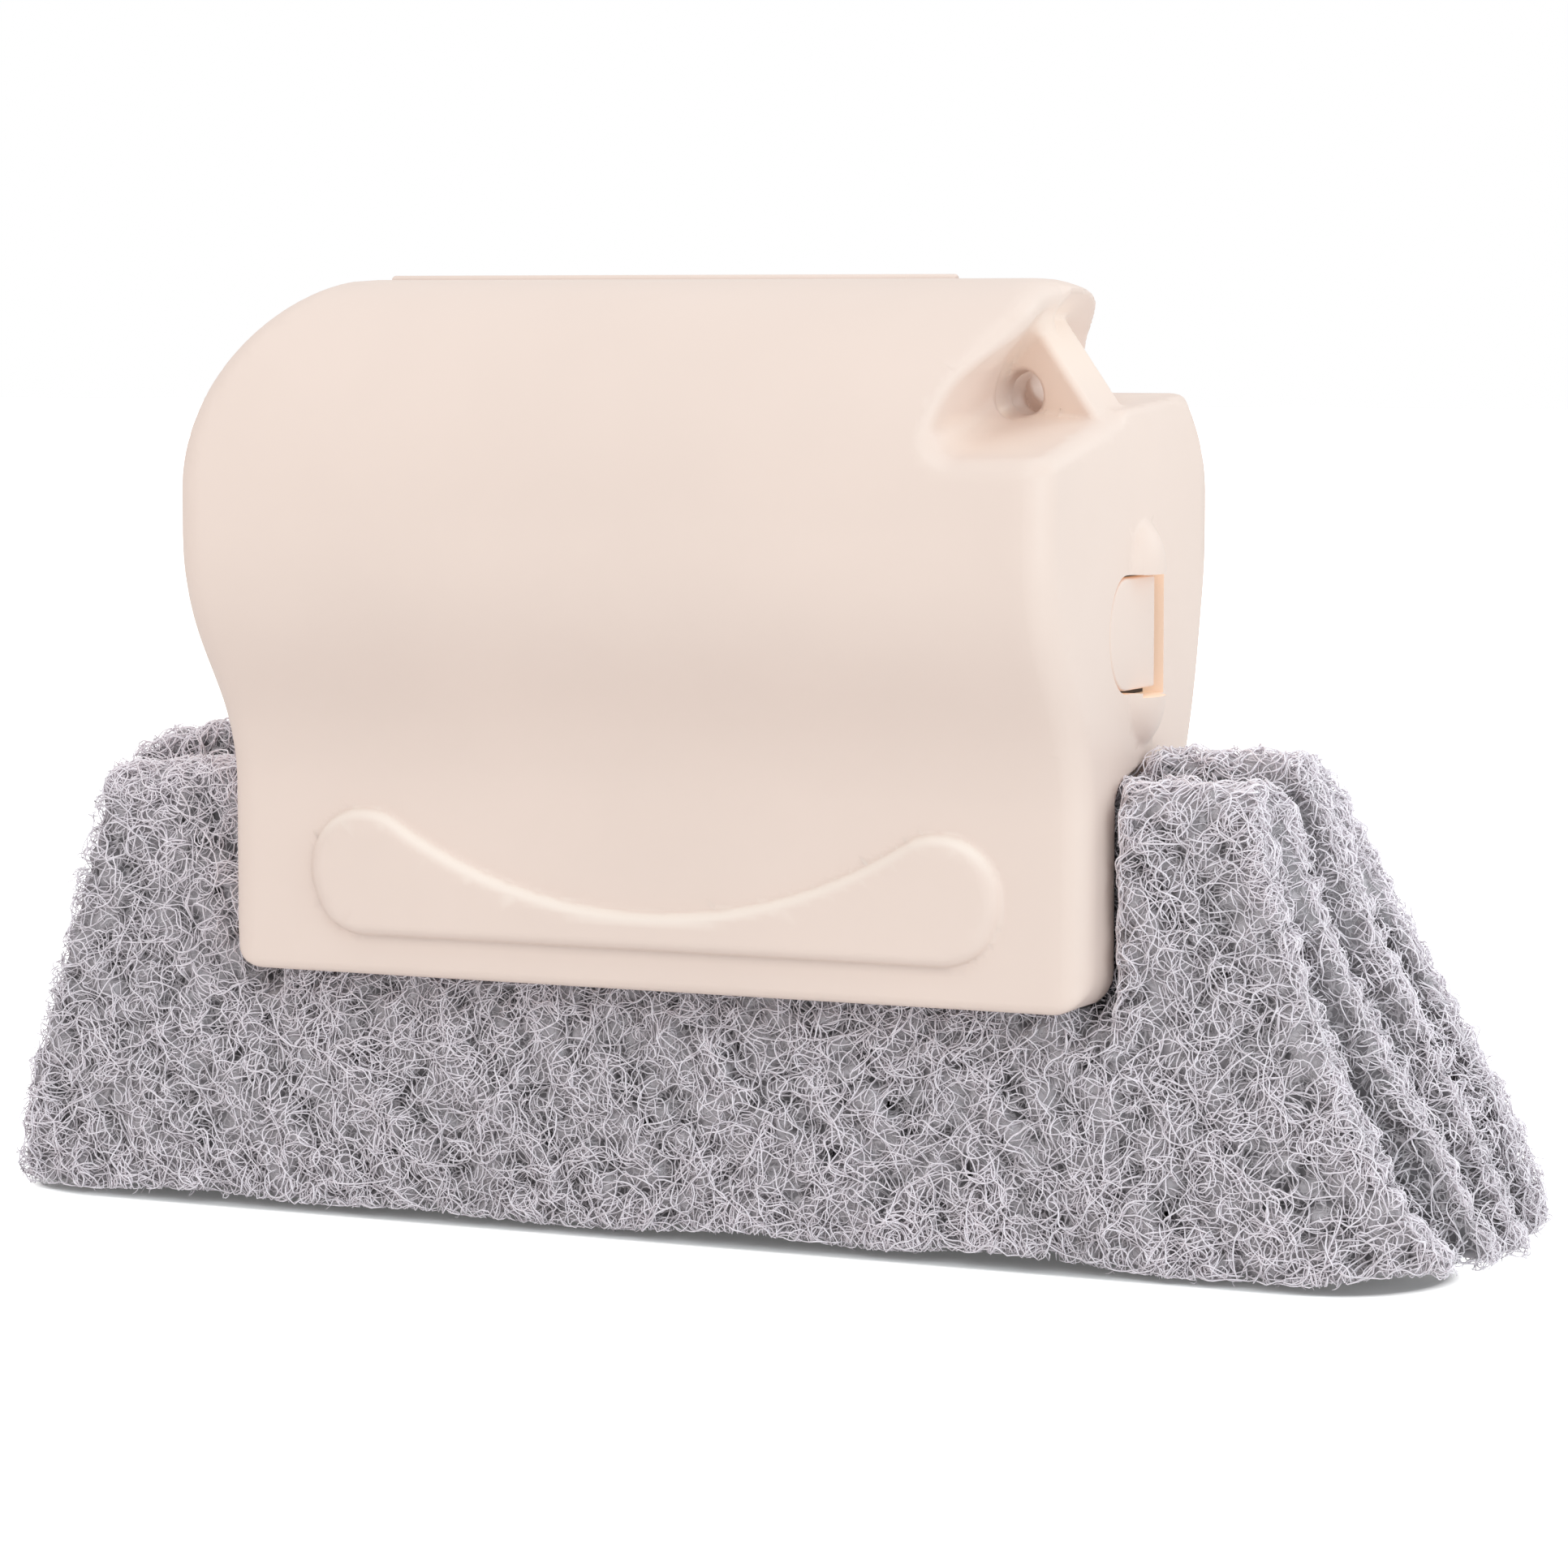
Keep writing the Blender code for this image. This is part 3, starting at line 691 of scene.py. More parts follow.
def strands(field, cut, starts, rng, steps=FIBRE_POINTS, length=FIBRE_STEP):
    """Curled paths over a sheet's faces, some buried and some proud, turned back at its edges."""
    count = len(starts)
    bend = rng.normal(0, 0.45, count)
    sway = np.abs(rng.normal(0.55, 0.5, count))
    sway_length = rng.uniform(2.2, 6, count)
    sway_turn = rng.uniform(0, 2 * np.pi, count)
    depth = 0.12 - 0.8 * rng.uniform(size=count) ** 1.2
    weave = rng.uniform(0.05, 0.3, count)
    weave_length = rng.uniform(2, 5, count)
    weave_turn = rng.uniform(0, 2 * np.pi, count)
    stray = rng.uniform(size=count) < 0.06
    lift = np.where(stray, rng.uniform(0.3, 0.8, count), 0.0)
    step = length * rng.uniform(0.7, 1.25, count)

    point = starts.copy()
    _, normal, _ = gradient(field, point)
    way = rng.normal(size=(count, 3))
    way -= (way * normal).sum(1)[:, None] * normal
    way /= np.linalg.norm(way, axis=1)[:, None]
    path = np.empty((count, steps, 3))
    normals = np.empty((count, steps, 3))
    low = np.zeros(count)
    for i in range(steps):
        run = step * i
        dip = 0.25 * lumps(*point.T)
        height = depth + weave * np.sin(2 * np.pi * run / weave_length + weave_turn) - dip
        height = height + lift * np.sin(np.pi * i / (steps - 1)) ** 2
        low += height / steps
        over, edge, rate = gradient(cut, point)
        over = over / np.maximum(rate, 0.5) + 0.12
        point = point - edge * np.clip(over, 0, 0.5)[:, None]
        value, normal, rate = gradient(field, point)
        move = np.clip((value - height) / np.maximum(rate, 0.5), -0.5, 0.5)
        point = point - normal * move[:, None]
        point[:, 2] = np.maximum(point[:, 2], LOWEST)
        path[:, i] = point
        normals[:, i] = normal
        turn = (bend + sway * np.sin(2 * np.pi * run / sway_length + sway_turn)) * step
        way = way * np.cos(turn)[:, None] + np.cross(normal, way) * np.sin(turn)[:, None]
        ahead = (way * edge).sum(1)
        bounce = np.where((over > 0) & (ahead > 0), 2 * ahead, 0)
        way -= bounce[:, None] * edge
        pit, steep, rate = gradient(lumps, point)
        round_pit = 0.1 * rate * eased(0.3 + 0.5 * pit)
        way -= round_pit[:, None] * steep
        way -= (way * normal).sum(1)[:, None] * normal
        way /= np.maximum(np.linalg.norm(way, axis=1)[:, None], 1e-6)
        point = point + way * step[:, None]
    # Painted shade: the deeper a strand lies on average, the darker its tone, on top of a random
    # share.
    tone_and_painted_light = np.clip((low + 0.8) / 0.95, 0, 1) * 0.65 + rng.uniform(0, 0.35, count)
    return path, normals, tone_and_painted_light


def tufts(field, starts, rng):
    """Short cut fibres that lean out of a sheet's edges."""
    count, steps = len(starts), TUFT_POINTS
    _, normal, _ = gradient(field, starts)
    way = rng.normal(size=(count, 3))
    way += normal * rng.uniform(0.1, 1.1, count)[:, None]
    way /= np.linalg.norm(way, axis=1)[:, None]
    axis = rng.normal(size=(count, 3))
    axis -= (axis * way).sum(1)[:, None] * way
    axis /= np.linalg.norm(axis, axis=1)[:, None]
    turn = rng.normal(0, 0.5, count)
    step = rng.uniform(0.2, 0.42, count)
    point = starts - normal * rng.uniform(0.15, 0.5, count)[:, None]
    path = np.empty((count, steps, 3))
    for i in range(steps):
        value, out, _ = gradient(field, point)
        excess = np.maximum(value - 0.55, 0)
        point = point - out * excess[:, None]
        point[:, 2] = np.maximum(point[:, 2], LOWEST)
        path[:, i] = point
        way = way * np.cos(turn)[:, None] + np.cross(axis, way) * np.sin(turn)[:, None]
        point = point + way * step[:, None]
    normals = np.repeat(axis[:, None, :], steps, axis=1)
    return path, normals, rng.uniform(0.35, 1.0, count)


def hair_points(path, normals, rng, thickness):
    """Three points round each step of each path, close together at both ends."""
    count, steps, _ = path.shape
    along = np.gradient(path, axis=1)
    along /= np.maximum(np.linalg.norm(along, axis=2)[..., None], 1e-6)
    sideways = np.cross(along, normals)
    sideways /= np.maximum(np.linalg.norm(sideways, axis=2)[..., None], 1e-6)
    up = np.cross(sideways, along)
    radius = rng.uniform(*thickness, count)[:, None] * np.ones(steps)
    radius[:, 0] *= 0.4
    radius[:, -1] *= 0.4
    rings = []
    for turn in (90, 210, 330):
        a = math.radians(turn)
        offset = up * math.sin(a) + sideways * math.cos(a)
        rings.append(path + offset * radius[..., None])
    return np.stack(rings, axis=2).reshape(-1, 3)


def fibre_mesh(name, path, normals, tone_and_painted_light, rng, thickness):
    """Three-sided hairs along the paths, tapered and closed at both ends."""
    count, steps, _ = path.shape
    points = hair_points(path, normals, rng, thickness)
    base = (np.arange(count) * steps * 3)[:, None, None]
    ring = (np.arange(steps - 1) * 3)[None, :, None]
    k = np.arange(3)[None, None, :]
    nxt = (k + 1) % 3
    quads = np.stack(
        [base + ring + k, base + ring + nxt, base + ring + 3 + nxt, base + ring + 3 + k], axis=-1
    ).reshape(-1, 4)
    caps = np.concatenate(
        [
            base[:, 0] + np.array([[2, 1, 0]]),
            base[:, 0] + (steps - 1) * 3 + np.array([[0, 1, 2]]),
        ]
    )
    loops = np.concatenate([quads.ravel(), caps.ravel()])
    starts = np.concatenate(
        [np.arange(len(quads)) * 4, len(quads) * 4 + np.arange(len(caps)) * 3]
    )
    mesh = bpy.data.meshes.new(name)
    mesh.vertices.add(len(points))
    mesh.vertices.foreach_set("co", place(points).ravel())
    mesh.loops.add(len(loops))
    mesh.loops.foreach_set("vertex_index", loops.astype(np.int32))
    mesh.polygons.add(len(starts))
    mesh.polygons.foreach_set("loop_start", starts.astype(np.int32))
    mesh.update(calc_edges=True)
    mesh.validate()
    mesh.shade_smooth()
    write_values(mesh, "tone_and_painted_light", "POINT", np.repeat(tone_and_painted_light, steps * 3))
    mesh.materials.append(fibre)
    return mesh


# Materials


def noise_node(nodes, scale, detail, distortion=0.0):
    node = nodes.new("ShaderNodeTexNoise")
    node.inputs["Scale"].default_value = scale
    node.inputs["Detail"].default_value = detail
    node.inputs["Distortion"].default_value = distortion
    return node


def range_node(nodes, low, high, to_low, to_high):
    node = nodes.new("ShaderNodeMapRange")
    for name, value in zip(
        ("From Min", "From Max", "To Min", "To Max"), (low, high, to_low, to_high)
    ):
        node.inputs[name].default_value = value
    return node


def moulded_group():
    """Cloudy tint, uneven gloss and the fine grain of a moulded surface."""
    group = bpy.data.node_groups.new("moulded_surface", "ShaderNodeTree")
    face = group.interface
    face.new_socket("Tint", in_out="INPUT", socket_type="NodeSocketColor")
    face.new_socket("Vector", in_out="INPUT", socket_type="NodeSocketVector")
    face.new_socket("Color", in_out="OUTPUT", socket_type="NodeSocketColor")
    face.new_socket("Roughness", in_out="OUTPUT", socket_type="NodeSocketFloat")
    face.new_socket("Height", in_out="OUTPUT", socket_type="NodeSocketFloat")
    nodes, links = group.nodes, group.links
    given = nodes.new("NodeGroupInput")
    made = nodes.new("NodeGroupOutput")
    cloud = noise_node(nodes, 38, 3)
    links.new(given.outputs["Vector"], cloud.inputs["Vector"])
    shade = range_node(nodes, 0.3, 0.7, 0.972, 1.012)
    links.new(cloud.outputs["Fac"], shade.inputs["Value"])
    tint = nodes.new("ShaderNodeMix")
    tint.data_type = "RGBA"
    tint.blend_type = "MULTIPLY"
    tint.inputs["Factor"].default_value = 1.0
    links.new(given.outputs["Tint"], tint.inputs["A"])
    links.new(shade.outputs["Result"], tint.inputs["B"])
    cells = nodes.new("ShaderNodeTexVoronoi")
    cells.inputs["Scale"].default_value = 75
    links.new(given.outputs["Vector"], cells.inputs["Vector"])
    size = nodes.new("ShaderNodeSeparateColor")
    links.new(cells.outputs["Color"], size.inputs["Color"])
    reach = range_node(nodes, 0.45, 1.0, 0.0, 0.014)
    links.new(size.outputs["Red"], reach.inputs["Value"])
    speck = nodes.new("ShaderNodeMath")
    speck.operation = "LESS_THAN"
    links.new(cells.outputs["Distance"], speck.inputs[0])
    links.new(reach.outputs["Result"], speck.inputs[1])
    dark = nodes.new("ShaderNodeMix")
    dark.data_type = "RGBA"
    dark.blend_type = "MULTIPLY"
    dark.inputs["B"].default_value = (*SPECK, 1)
    links.new(speck.outputs["Value"], dark.inputs["Factor"])
    links.new(tint.outputs["Result"], dark.inputs["A"])
    links.new(dark.outputs["Result"], made.inputs["Color"])
    gloss = noise_node(nodes, 160, 4)
    links.new(given.outputs["Vector"], gloss.inputs["Vector"])
    rough = range_node(nodes, 0.3, 0.7, 0.4, 0.5)
    links.new(gloss.outputs["Fac"], rough.inputs["Value"])
    links.new(rough.outputs["Result"], made.inputs["Roughness"])
    grain = noise_node(nodes, 1400, 2)
    links.new(given.outputs["Vector"], grain.inputs["Vector"])
    links.new(grain.outputs["Fac"], made.inputs["Height"])
    return group


def moulded_plastic(name, colour, inner):
    """Cream plastic with painted light: deeper in tone and with a painted glow inside the recess, a
    painted highlight on the grip's rim, and a painted glow for light through the thin walls round
    the tabs."""
    material = bpy.data.materials.new(name)
    material.use_nodes = True
    nodes, links = material.node_tree.nodes, material.node_tree.links
    shader = nodes["Principled BSDF"]
    place_node = nodes.new("ShaderNodeTexCoord")
    surface = nodes.new("ShaderNodeGroup")
    surface.node_tree = moulded
    # Painted light in the recess: a deeper tone and a glow, read from the depth mask.
    depth = nodes.new("ShaderNodeAttribute")
    depth.attribute_name = "depth"
    tint = nodes.new("ShaderNodeMix")
    tint.data_type = "RGBA"
    tint.inputs["A"].default_value = (*colour, 1)
    tint.inputs["B"].default_value = (*inner, 1)
    links.new(depth.outputs["Fac"], tint.inputs["Factor"])
    painted_glow_mask = nodes.new("ShaderNodeAttribute")
    painted_glow_mask.attribute_name = "painted_glow_mask"
    # Painted highlight on the grip's rim, read from the edge mask.
    edge = nodes.new("ShaderNodeAttribute")
    edge.attribute_name = "edge"
    rim_highlight = nodes.new("ShaderNodeMix")
    rim_highlight.data_type = "RGBA"
    rim_highlight.inputs["B"].default_value = (*PAINTED_RIM_HIGHLIGHT, 1)
    links.new(edge.outputs["Fac"], rim_highlight.inputs["Factor"])
    links.new(tint.outputs["Result"], rim_highlight.inputs["A"])
    links.new(rim_highlight.outputs["Result"], surface.inputs["Tint"])
    links.new(place_node.outputs["Object"], surface.inputs["Vector"])
    links.new(surface.outputs["Color"], shader.inputs["Base Color"])
    links.new(surface.outputs["Roughness"], shader.inputs["Roughness"])
    bump = nodes.new("ShaderNodeBump")
    bump.inputs["Strength"].default_value = 0.08
    bump.inputs["Distance"].default_value = 0.00005
    links.new(surface.outputs["Height"], bump.inputs["Height"])
    links.new(bump.outputs["Normal"], shader.inputs["Normal"])
    shader.inputs["IOR"].default_value = 1.49
    # Painted glow on the walls round the tabs.
    glow = nodes.new("ShaderNodeMix")
    glow.data_type = "RGBA"
    glow.inputs["A"].default_value = (0, 0, 0, 1)
    glow.inputs["B"].default_value = (*THIN_WALL_GLOW, 1)
    links.new(painted_glow_mask.outputs["Fac"], glow.inputs["Factor"])
    # Painted glow: the recess's glow is added to that of the tab walls.
    inside = nodes.new("ShaderNodeMix")
    inside.data_type = "RGBA"
    inside.blend_type = "ADD"
    inside.inputs["B"].default_value = (*RECESS_GLOW, 1)
    links.new(depth.outputs["Fac"], inside.inputs["Factor"])
    links.new(glow.outputs["Result"], inside.inputs["A"])
    links.new(inside.outputs["Result"], shader.inputs["Emission Color"])
    shader.inputs["Emission Strength"].default_value = 1.0
    return material


def felt_group():
    """Fine hairs crossing over a darker ground, for what lies below the modelled fibres; the
    material puts painted shade into that ground at the pores.
    """
    group = bpy.data.node_groups.new("felted_web", "ShaderNodeTree")
    face = group.interface
    face.new_socket("Vector", in_out="INPUT", socket_type="NodeSocketVector")
    face.new_socket("Dark", in_out="INPUT", socket_type="NodeSocketColor")
    face.new_socket("Light", in_out="INPUT", socket_type="NodeSocketColor")
    face.new_socket("Color", in_out="OUTPUT", socket_type="NodeSocketColor")
    face.new_socket("Height", in_out="OUTPUT", socket_type="NodeSocketFloat")
    nodes, links = group.nodes, group.links
    given = nodes.new("NodeGroupInput")
    made = nodes.new("NodeGroupOutput")
    web = None
    for scale, warp in ((800, 2.2), (1150, 2.6)):
        bend = noise_node(nodes, scale * 0.35, 2, 0.2)
        links.new(given.outputs["Vector"], bend.inputs["Vector"])
        push = nodes.new("ShaderNodeVectorMath")
        push.operation = "MULTIPLY_ADD"
        push.inputs[1].default_value = (warp / scale, warp / scale, warp / scale)
        links.new(bend.outputs["Color"], push.inputs[0])
        links.new(given.outputs["Vector"], push.inputs[2])
        cells = nodes.new("ShaderNodeTexVoronoi")
        cells.feature = "DISTANCE_TO_EDGE"
        cells.inputs["Scale"].default_value = scale
        links.new(push.outputs["Vector"], cells.inputs["Vector"])
        hair = range_node(nodes, 0.02, 0.09, 1.0, 0.0)
        links.new(cells.outputs["Distance"], hair.inputs["Value"])
        if web is None:
            web = hair.outputs["Result"]
        else:
            both = nodes.new("ShaderNodeMath")
            both.operation = "MAXIMUM"
            links.new(web, both.inputs[0])
            links.new(hair.outputs["Result"], both.inputs[1])
            web = both.outputs["Value"]
    mix = nodes.new("ShaderNodeMix")
    mix.data_type = "RGBA"
    links.new(web, mix.inputs["Factor"])
    links.new(given.outputs["Dark"], mix.inputs["A"])
    links.new(given.outputs["Light"], mix.inputs["B"])
    links.new(mix.outputs["Result"], made.inputs["Color"])
    links.new(web, made.inputs["Height"])
    return group


def felt_material(name, dark, light):
    """What shows between the fibres: painted shade in the pores and in the gaps between the leaves,
    and a paler tone at the ends and tops as painted light.
    """
    material = bpy.data.materials.new(name)
    material.use_nodes = True
    nodes, links = material.node_tree.nodes, material.node_tree.links
    shader = nodes["Principled BSDF"]
    place_node = nodes.new("ShaderNodeTexCoord")
    web = nodes.new("ShaderNodeGroup")
    web.node_tree = felt
    pore_shade = nodes.new("ShaderNodeAttribute")
    pore_shade.attribute_name = "pore_shade"
    shade = nodes.new("ShaderNodeMix")
    shade.data_type = "RGBA"
    shade.inputs["A"].default_value = (*(1.25 * part for part in light), 1)
    shade.inputs["B"].default_value = (*dark, 1)
    links.new(pore_shade.outputs["Fac"], shade.inputs["Factor"])
    links.new(shade.outputs["Result"], web.inputs["Dark"])
    web.inputs["Light"].default_value = (*light, 1)
    links.new(place_node.outputs["Object"], web.inputs["Vector"])
    links.new(web.outputs["Color"], shader.inputs["Base Color"])
    bump = nodes.new("ShaderNodeBump")
    bump.inputs["Strength"].default_value = 0.6
    bump.inputs["Distance"].default_value = 0.0002
    links.new(web.outputs["Height"], bump.inputs["Height"])
    links.new(bump.outputs["Normal"], shader.inputs["Normal"])
    shader.inputs["Roughness"].default_value = 0.9
    return material


def fibre_material(name, dark, light):
    """Each strand has its own tone, with painted shade on the buried ones and painted light near
    the tops and on the ends, and the pad is a little cloudy over all.
    """
    material = bpy.data.materials.new(name)
    material.use_nodes = True
    nodes, links = material.node_tree.nodes, material.node_tree.links
    shader = nodes["Principled BSDF"]
    tone_and_painted_light = nodes.new("ShaderNodeAttribute")
    tone_and_painted_light.attribute_name = "tone_and_painted_light"
    place_node = nodes.new("ShaderNodeTexCoord")
    cloud = noise_node(nodes, 55, 2)
    links.new(place_node.outputs["Object"], cloud.inputs["Vector"])
    drift = range_node(nodes, 0.3, 0.7, -0.12, 0.12)
    links.new(cloud.outputs["Fac"], drift.inputs["Value"])
    total = nodes.new("ShaderNodeMath")
    total.operation = "ADD"
    total.use_clamp = True
    links.new(tone_and_painted_light.outputs["Fac"], total.inputs[0])
    links.new(drift.outputs["Result"], total.inputs[1])
    mix = nodes.new("ShaderNodeMix")
    mix.data_type = "RGBA"
    mix.inputs["A"].default_value = (*dark, 1)
    mix.inputs["B"].default_value = (*light, 1)
    links.new(total.outputs["Value"], mix.inputs["Factor"])
    links.new(mix.outputs["Result"], shader.inputs["Base Color"])
    shader.inputs["Roughness"].default_value = 0.6
    return material


moulded = moulded_group()
felt = felt_group()
cream = moulded_plastic("cream_polypropylene_satin", CREAM, CREAM_PAINTED_RECESS_LIGHT)
web_grey = felt_material("grey_felt", PORE_SHADE_GREY, FELT_GREY)
fibre = fibre_material("grey_fibre_strand", DARK_FIBRE, PALE_FIBRE)


# The handle


def dress_handle():
    voxel = 0.38
    points, faces = skin(handle_field, (-46, -21.6, 22.4), (46, 21.6, 89.2), voxel, 0.02)
    slots = [tab_slot(1, TAB_GAP), tab_slot(-1, TAB_GAP), strip_groove()]
    handle_half("handle_front", FRONT, points, faces, "front_half", slots, ["front_shell"])
    windows = [tab_window(1), tab_window(-1), strip_groove()]
    handle_half("handle_rear", REAR, points, faces, "rear_half", windows, ["rear_shell"])
    softened("hinge_strip", "living_hinge", 0.2, "front_half", (0, 0, -0.2))
    softened("right_tab", "latch_tab_right", 0.22, "right_latch")
    softened("left_tab", "latch_tab_left", 0.22, "left_latch", (-LEFT_EXTRA, 0, 0))


# The pads


def inner_face(out, facing):
    """Whether a point lies on a face that looks into one of the gaps between the leaves."""
    return (facing < -0.7) | (out < 5.2) & (facing > 0.7)


def pad_weight(side):
    """Where strands start on a pad: mostly on the faces in view."""

    def weight(points, way):
        x, y, z = points.T
        out = side * y
        facing = side * way[:, 1]
        hidden = (np.abs(x) < 42) & (z > 27)
        inner = inner_face(out, facing)
        share = np.where(inner, 0.14 + 0.44 * (x > 52), 0.8)
        if side == REAR:
            share = share * 0.8
        share = np.where(z > crown(x, side) - 4, 1.0, share)
        share = share * (0.4 + 0.6 * eased(0.6 - 0.5 * lumps(x, y, z)))
        share = np.where(np.abs(way[:, 0]) > 0.5, 0.0, share)
        return np.where(hidden, 0.04, share)

    return weight


def end_weight(points, way):
    """Where short strands start: on the cut ends."""
    ends = np.abs(way[:, 0]) > 0.5
    return np.where(ends, np.where(points[:, 0] > 0, 1.0, 0.42), 0.0)


def edge_weight(points, way):
    """Where tufts start: on the cut ends and along the edges."""
    x, _, z = points.T
    ends = np.abs(way[:, 0]) > 0.5
    rims = (np.abs(way[:, 1]) < 0.7) & (np.abs(x) > 44)
    share = np.where(ends, 1.0, np.where(rims, 0.5, 0.06))
    return np.where((np.abs(x) < 44) & (z > 27), 0.0, share)


def painted_pore_shade(x, y, z, side):
    """Painted shade on the core: dark in its pits and in the gaps, not at its ends and tops."""
    pore_shade = 0.25 + 0.75 * eased(0.45 + 0.4 * lumps(x, y, z))
    pore_shade = pore_shade * eased((-pad_cut(x, y, z, side) - 0.3) / 1.2)
    pore_shade = pore_shade * (1 - 0.9 * eased((z - crown(x, side) + 4.0) / 3.0))
    gap = 1 - eased((x - 50) / 6) * (0.08 + 0.3 * eased((z - 12) / 20))

    def nominal(x, y, z):
        return pad_field(x, y, z, side)

    _, way, _ = gradient(nominal, np.stack([x, y, z], axis=1))
    return np.where(inner_face(side * y, side * way[:, 1]), gap, pore_shade)


def pad_core(side, word, body, node, low, high):
    """The sheet below its fibres, pitted all over."""

    def core(x, y, z):
        pits = lumps(x, y, z)
        sheet = pad_section(x, y, z, side) + CORE_DEPTH + 0.3 * pits
        return meet(sheet, pad_cut(x, y, z, side) + 0.4 + 0.12 * pits, 0.5)

    points, faces = skin(core, low, high, CORE_VOXEL)
    mesh = bpy.data.meshes.new(f"{word}_pad_core")
    mesh.from_pydata(place(points), [], faces)
    mesh.validate()
    bm = bmesh.new()
    bm.from_mesh(mesh)
    face_outwards(bm)
    bm.to_mesh(mesh)
    bm.free()
    mesh.shade_smooth()
    mesh.materials.append(web_grey)
    write_values(mesh, "pore_shade", "POINT", painted_pore_shade(*local_points(mesh).T, side))
    return finish(add_piece(mesh.name, mesh), body, "grey_fibre", node)


def add_fibres(name, paths, rng, body, thickness=THICKNESS, painted_light=0.0):
    path, normals, tone_and_painted_light = paths
    mesh = fibre_mesh(name, path, normals, tone_and_painted_light + painted_light, rng, thickness)
    finish(add_piece(mesh.name, mesh), body, "grey_fibre")


def dress_pad(side, word, body, node):
    """One pad: its core, long strands on its faces, short ones on its ends, tufts on its edges."""
    rng = np.random.default_rng(11 if side == FRONT else 23)

    def nominal(x, y, z):
        return pad_field(x, y, z, side)

    def faces_only(x, y, z):
        return pad_section(x, y, z, side)

    def edges_only(x, y, z):
        return pad_cut(x, y, z, side)

    def uncut(x, y, z):
        return pad_field(x, y, z, side) - 5.0

    ys = sorted((side * PAD_LOW[1], side * PAD_HIGH[1]))
    low = (PAD_LOW[0], ys[0], PAD_LOW[2])
    high = (PAD_HIGH[0], ys[1], PAD_HIGH[2])
    piece = pad_core(side, word, body, node, low, high)
    each = FIBRES_EACH[side]
    for i in range(FIBRE_PIECES):
        starts = scatter(nominal, low, high, each, pad_weight(side), rng)
        paths = strands(faces_only, edges_only, starts, rng)
        near_top = starts[:, 2] - crown(starts[:, 0], side) + 4.0
        # Painted light: strands near the top of the fold are made paler, as if lit from above.
        painted_light = 0.3 * eased(near_top / 3.0)
        add_fibres(f"{word}_pad_fibres_{i + 1}", paths, rng, body, THICKNESS, painted_light)
    each = END_FIBRES
    starts = scatter(nominal, low, high, each, end_weight, rng)
    paths = strands(nominal, uncut, starts, rng, END_POINTS, END_STEP)
    # Painted light: the strands on the cut ends are made paler too.
    add_fibres(f"{word}_pad_end_fibres", paths, rng, body, FINE_THICKNESS, 0.25)
    each = TUFTS_EACH
    starts = scatter(nominal, low, high, each, edge_weight, rng)
    paths = tufts(nominal, starts, rng)
    add_fibres(f"{word}_pad_edge_fibres", paths, rng, body, FINE_THICKNESS)
    return piece


# Studio


def area_light(name, place_at, size, power, colour):
    """A softbox aimed at the object's middle."""
    data = bpy.data.lights.new(name, "AREA")
    data.shape = "RECTANGLE"
    data.size, data.size_y = size
    data.energy = power
    data.color = colour
    lamp = bpy.data.objects.new(name, data)
    bpy.context.scene.collection.objects.link(lamp)
    lamp.location = place_at
    way = Vector((0, 0, 0.05)) - Vector(place_at)
    lamp.rotation_euler = way.to_track_quat("-Z", "Y").to_euler()


def surroundings():
    """Soft light from all round, with plain white behind the object."""
    scene = bpy.context.scene
    scene.view_settings.view_transform = "Standard"
    world = bpy.data.worlds.new("studio")
    scene.world = world
    world.use_nodes = True
    nodes, links = world.node_tree.nodes, world.node_tree.links
    light = nodes["Background"]
    light.inputs["Color"].default_value = (1.0, 0.985, 0.975, 1)
    light.inputs["Strength"].default_value = 0.83
    white = nodes.new("ShaderNodeBackground")
    white.inputs["Color"].default_value = (1, 1, 1, 1)
    white.inputs["Strength"].default_value = 1.0
    rays = nodes.new("ShaderNodeLightPath")
    mix = nodes.new("ShaderNodeMixShader")
    links.new(rays.outputs["Is Camera Ray"], mix.inputs["Fac"])
    links.new(light.outputs["Background"], mix.inputs[1])
    links.new(white.outputs["Background"], mix.inputs[2])
    links.new(mix.outputs["Shader"], nodes["World Output"].inputs["Surface"])


def from_shadow_line(nodes, links):
    """Each floor point's distance from the line along the middle of the contact shadow."""
    where = nodes.new("ShaderNodeNewGeometry")
    folded = nodes.new("ShaderNodeVectorMath")
    folded.operation = "ABSOLUTE"
    beyond = nodes.new("ShaderNodeVectorMath")
    beyond.operation = "SUBTRACT"
    beyond.inputs[1].default_value = (SHADOW_HALF_LENGTH, 0, 0)
    links.new(folded.outputs["Vector"], beyond.inputs[0])
    shift = nodes.new("ShaderNodeVectorMath")
    shift.operation = "ADD"
    shift.inputs[1].default_value = [-part for part in SHADOW_MIDDLE]
    links.new(where.outputs["Position"], shift.inputs[0])
    links.new(shift.outputs["Vector"], folded.inputs[0])
    outside = nodes.new("ShaderNodeVectorMath")
    outside.operation = "MAXIMUM"
    links.new(beyond.outputs["Vector"], outside.inputs[0])
    away = nodes.new("ShaderNodeVectorMath")
    away.operation = "LENGTH"
    links.new(outside.outputs["Vector"], away.inputs[0])
    return away.outputs["Value"]


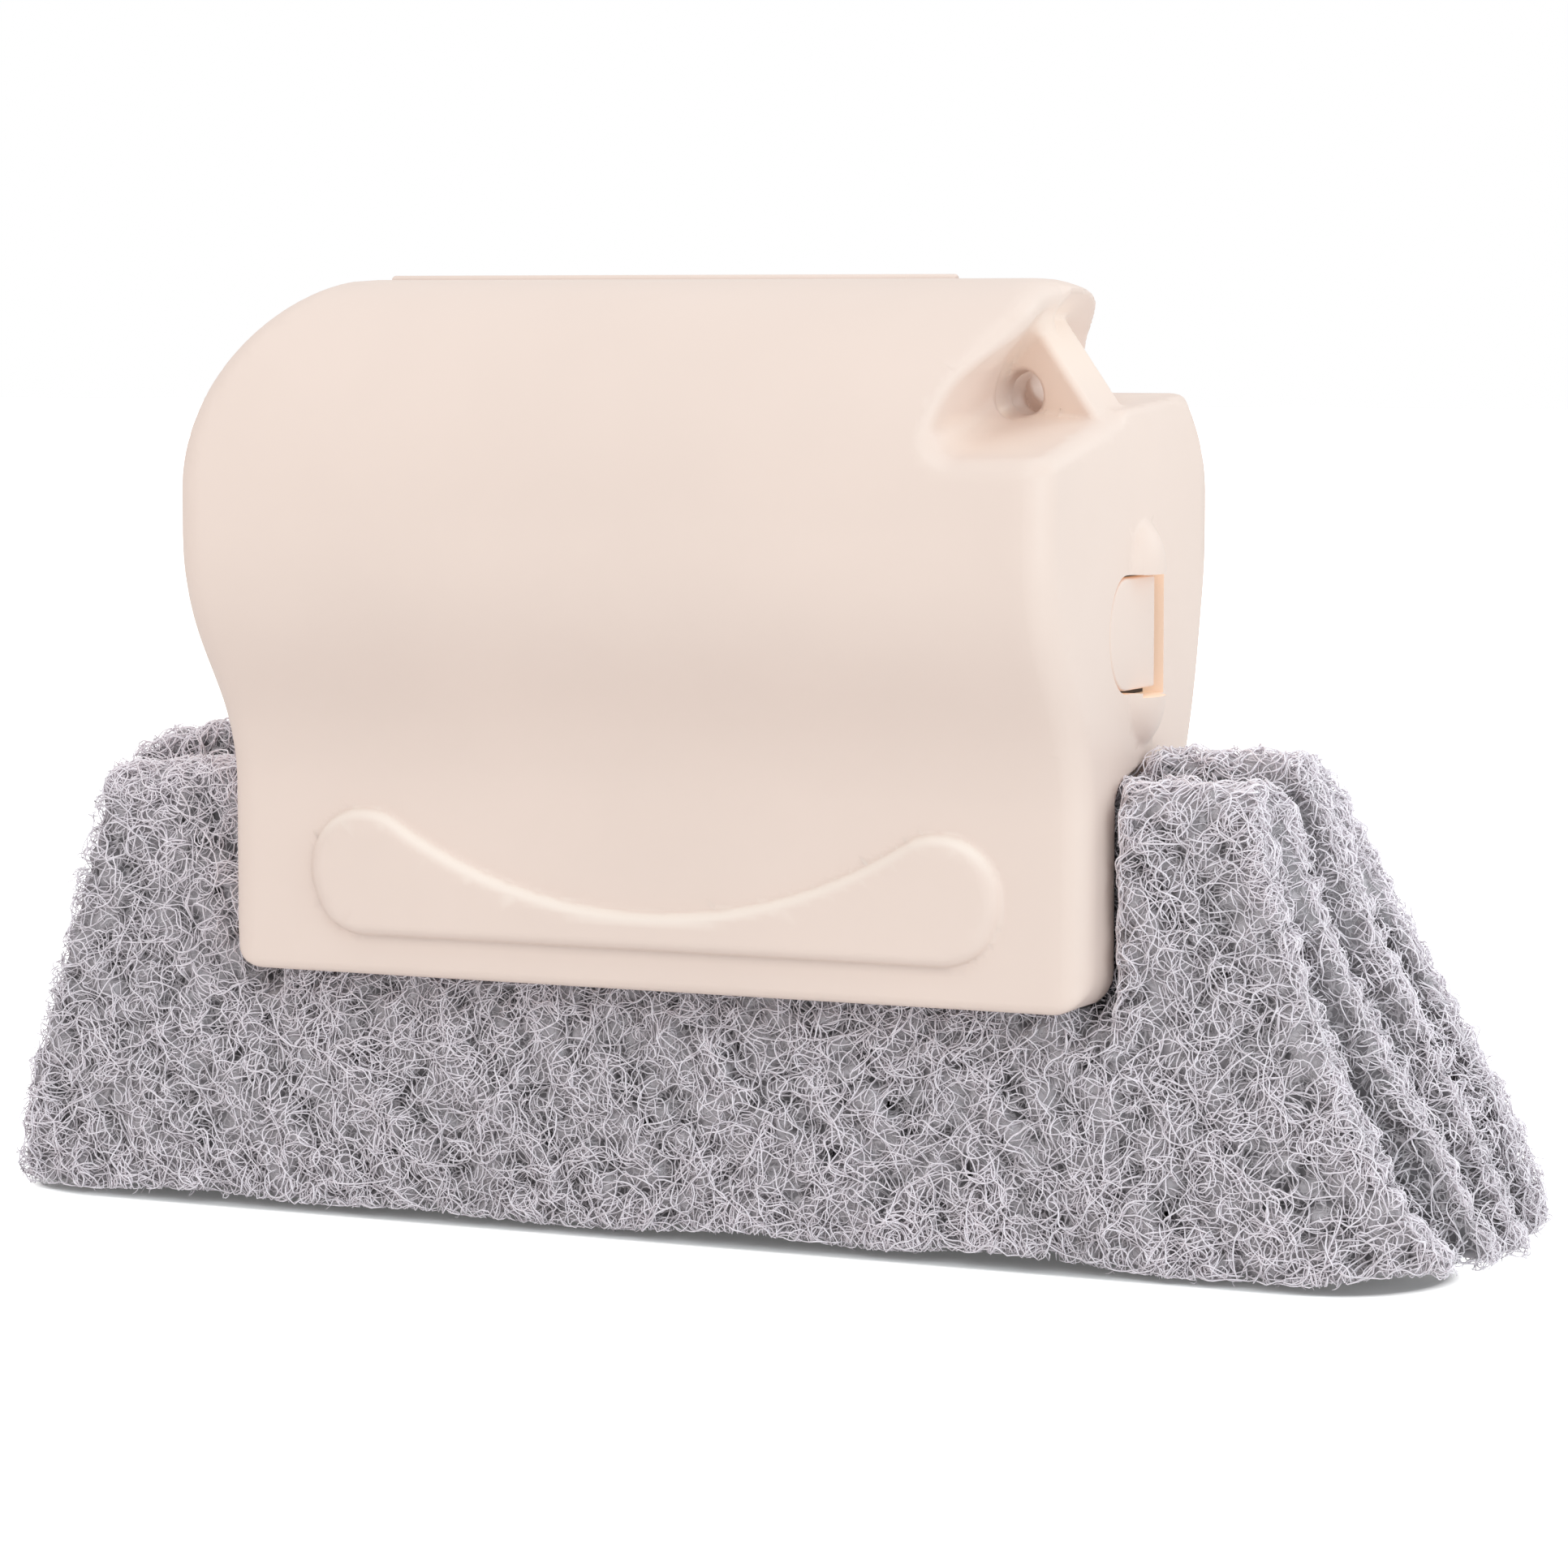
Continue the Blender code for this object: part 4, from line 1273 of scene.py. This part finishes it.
def floor_material():
    """White, with a painted grey rim of shadow that only the camera sees."""
    material = bpy.data.materials.new("white_floor")
    material.use_nodes = True
    nodes, links = material.node_tree.nodes, material.node_tree.links
    shader = nodes["Principled BSDF"]
    shader.inputs["Roughness"].default_value = 0.9
    shader.inputs["Emission Color"].default_value = (1, 1, 1, 1)
    rays = nodes.new("ShaderNodeLightPath")
    away = from_shadow_line(nodes, links)
    paint = range_node(nodes, *SHADOW_RIM, 0.3, 0.0)
    links.new(away, paint.inputs["Value"])
    seen = nodes.new("ShaderNodeMath")
    seen.operation = "MULTIPLY"
    links.new(paint.outputs["Result"], seen.inputs[0])
    links.new(rays.outputs["Is Camera Ray"], seen.inputs[1])
    tone_and_painted_light = nodes.new("ShaderNodeMath")
    tone_and_painted_light.operation = "SUBTRACT"
    tone_and_painted_light.inputs[0].default_value = FLOOR_TONE
    links.new(seen.outputs["Value"], tone_and_painted_light.inputs[1])
    links.new(tone_and_painted_light.outputs["Value"], shader.inputs["Base Color"])
    fade = range_node(nodes, *SHADOW_FADE, 0.1, 0.9)
    links.new(away, fade.inputs["Value"])
    glow = nodes.new("ShaderNodeMath")
    glow.operation = "MULTIPLY"
    links.new(rays.outputs["Is Camera Ray"], glow.inputs[0])
    links.new(fade.outputs["Result"], glow.inputs[1])
    links.new(glow.outputs["Value"], shader.inputs["Emission Strength"])
    return material


def studio():
    surroundings()
    bpy.ops.mesh.primitive_plane_add(size=8.0, location=(0, 0, 0))
    floor = bpy.context.object
    floor.name = "studio_floor"
    floor.data.materials.append(floor_material())
    for lamp in LAMPS:
        area_light(*lamp)


def camera():
    """Stands where the photograph was taken from, and sees as wide."""
    azimuth, elevation = math.radians(AZIMUTH), math.radians(ELEVATION)
    back = Vector(
        (
            math.sin(azimuth) * math.cos(elevation),
            -math.cos(azimuth) * math.cos(elevation),
            math.sin(elevation),
        )
    )
    right = Vector((math.cos(azimuth), math.sin(azimuth), 0))
    up = back.cross(right)
    aim = right * AIM_SIDEWAYS + Vector((HANDLE_MIDDLE * MM, 0, AIM_HEIGHT))
    data = bpy.data.cameras.new("camera")
    data.sensor_width = SENSOR
    data.lens = FOCAL_PIXELS / FRAME_PIXELS * SENSOR
    data.clip_start, data.clip_end = 0.01, 20
    made = bpy.data.objects.new("camera", data)
    bpy.context.scene.collection.objects.link(made)
    turn = Matrix((right, up, back)).transposed().to_4x4()
    made.matrix_world = Matrix.Translation(aim + back * DISTANCE) @ turn
    bpy.context.scene.camera = made


studio()
camera()
dress_handle()
front_core = dress_pad(FRONT, "front", "front_pad_body", "front_pad")
rear_core = dress_pad(REAR, "rear", "rear_pad_body", "rear_pad")
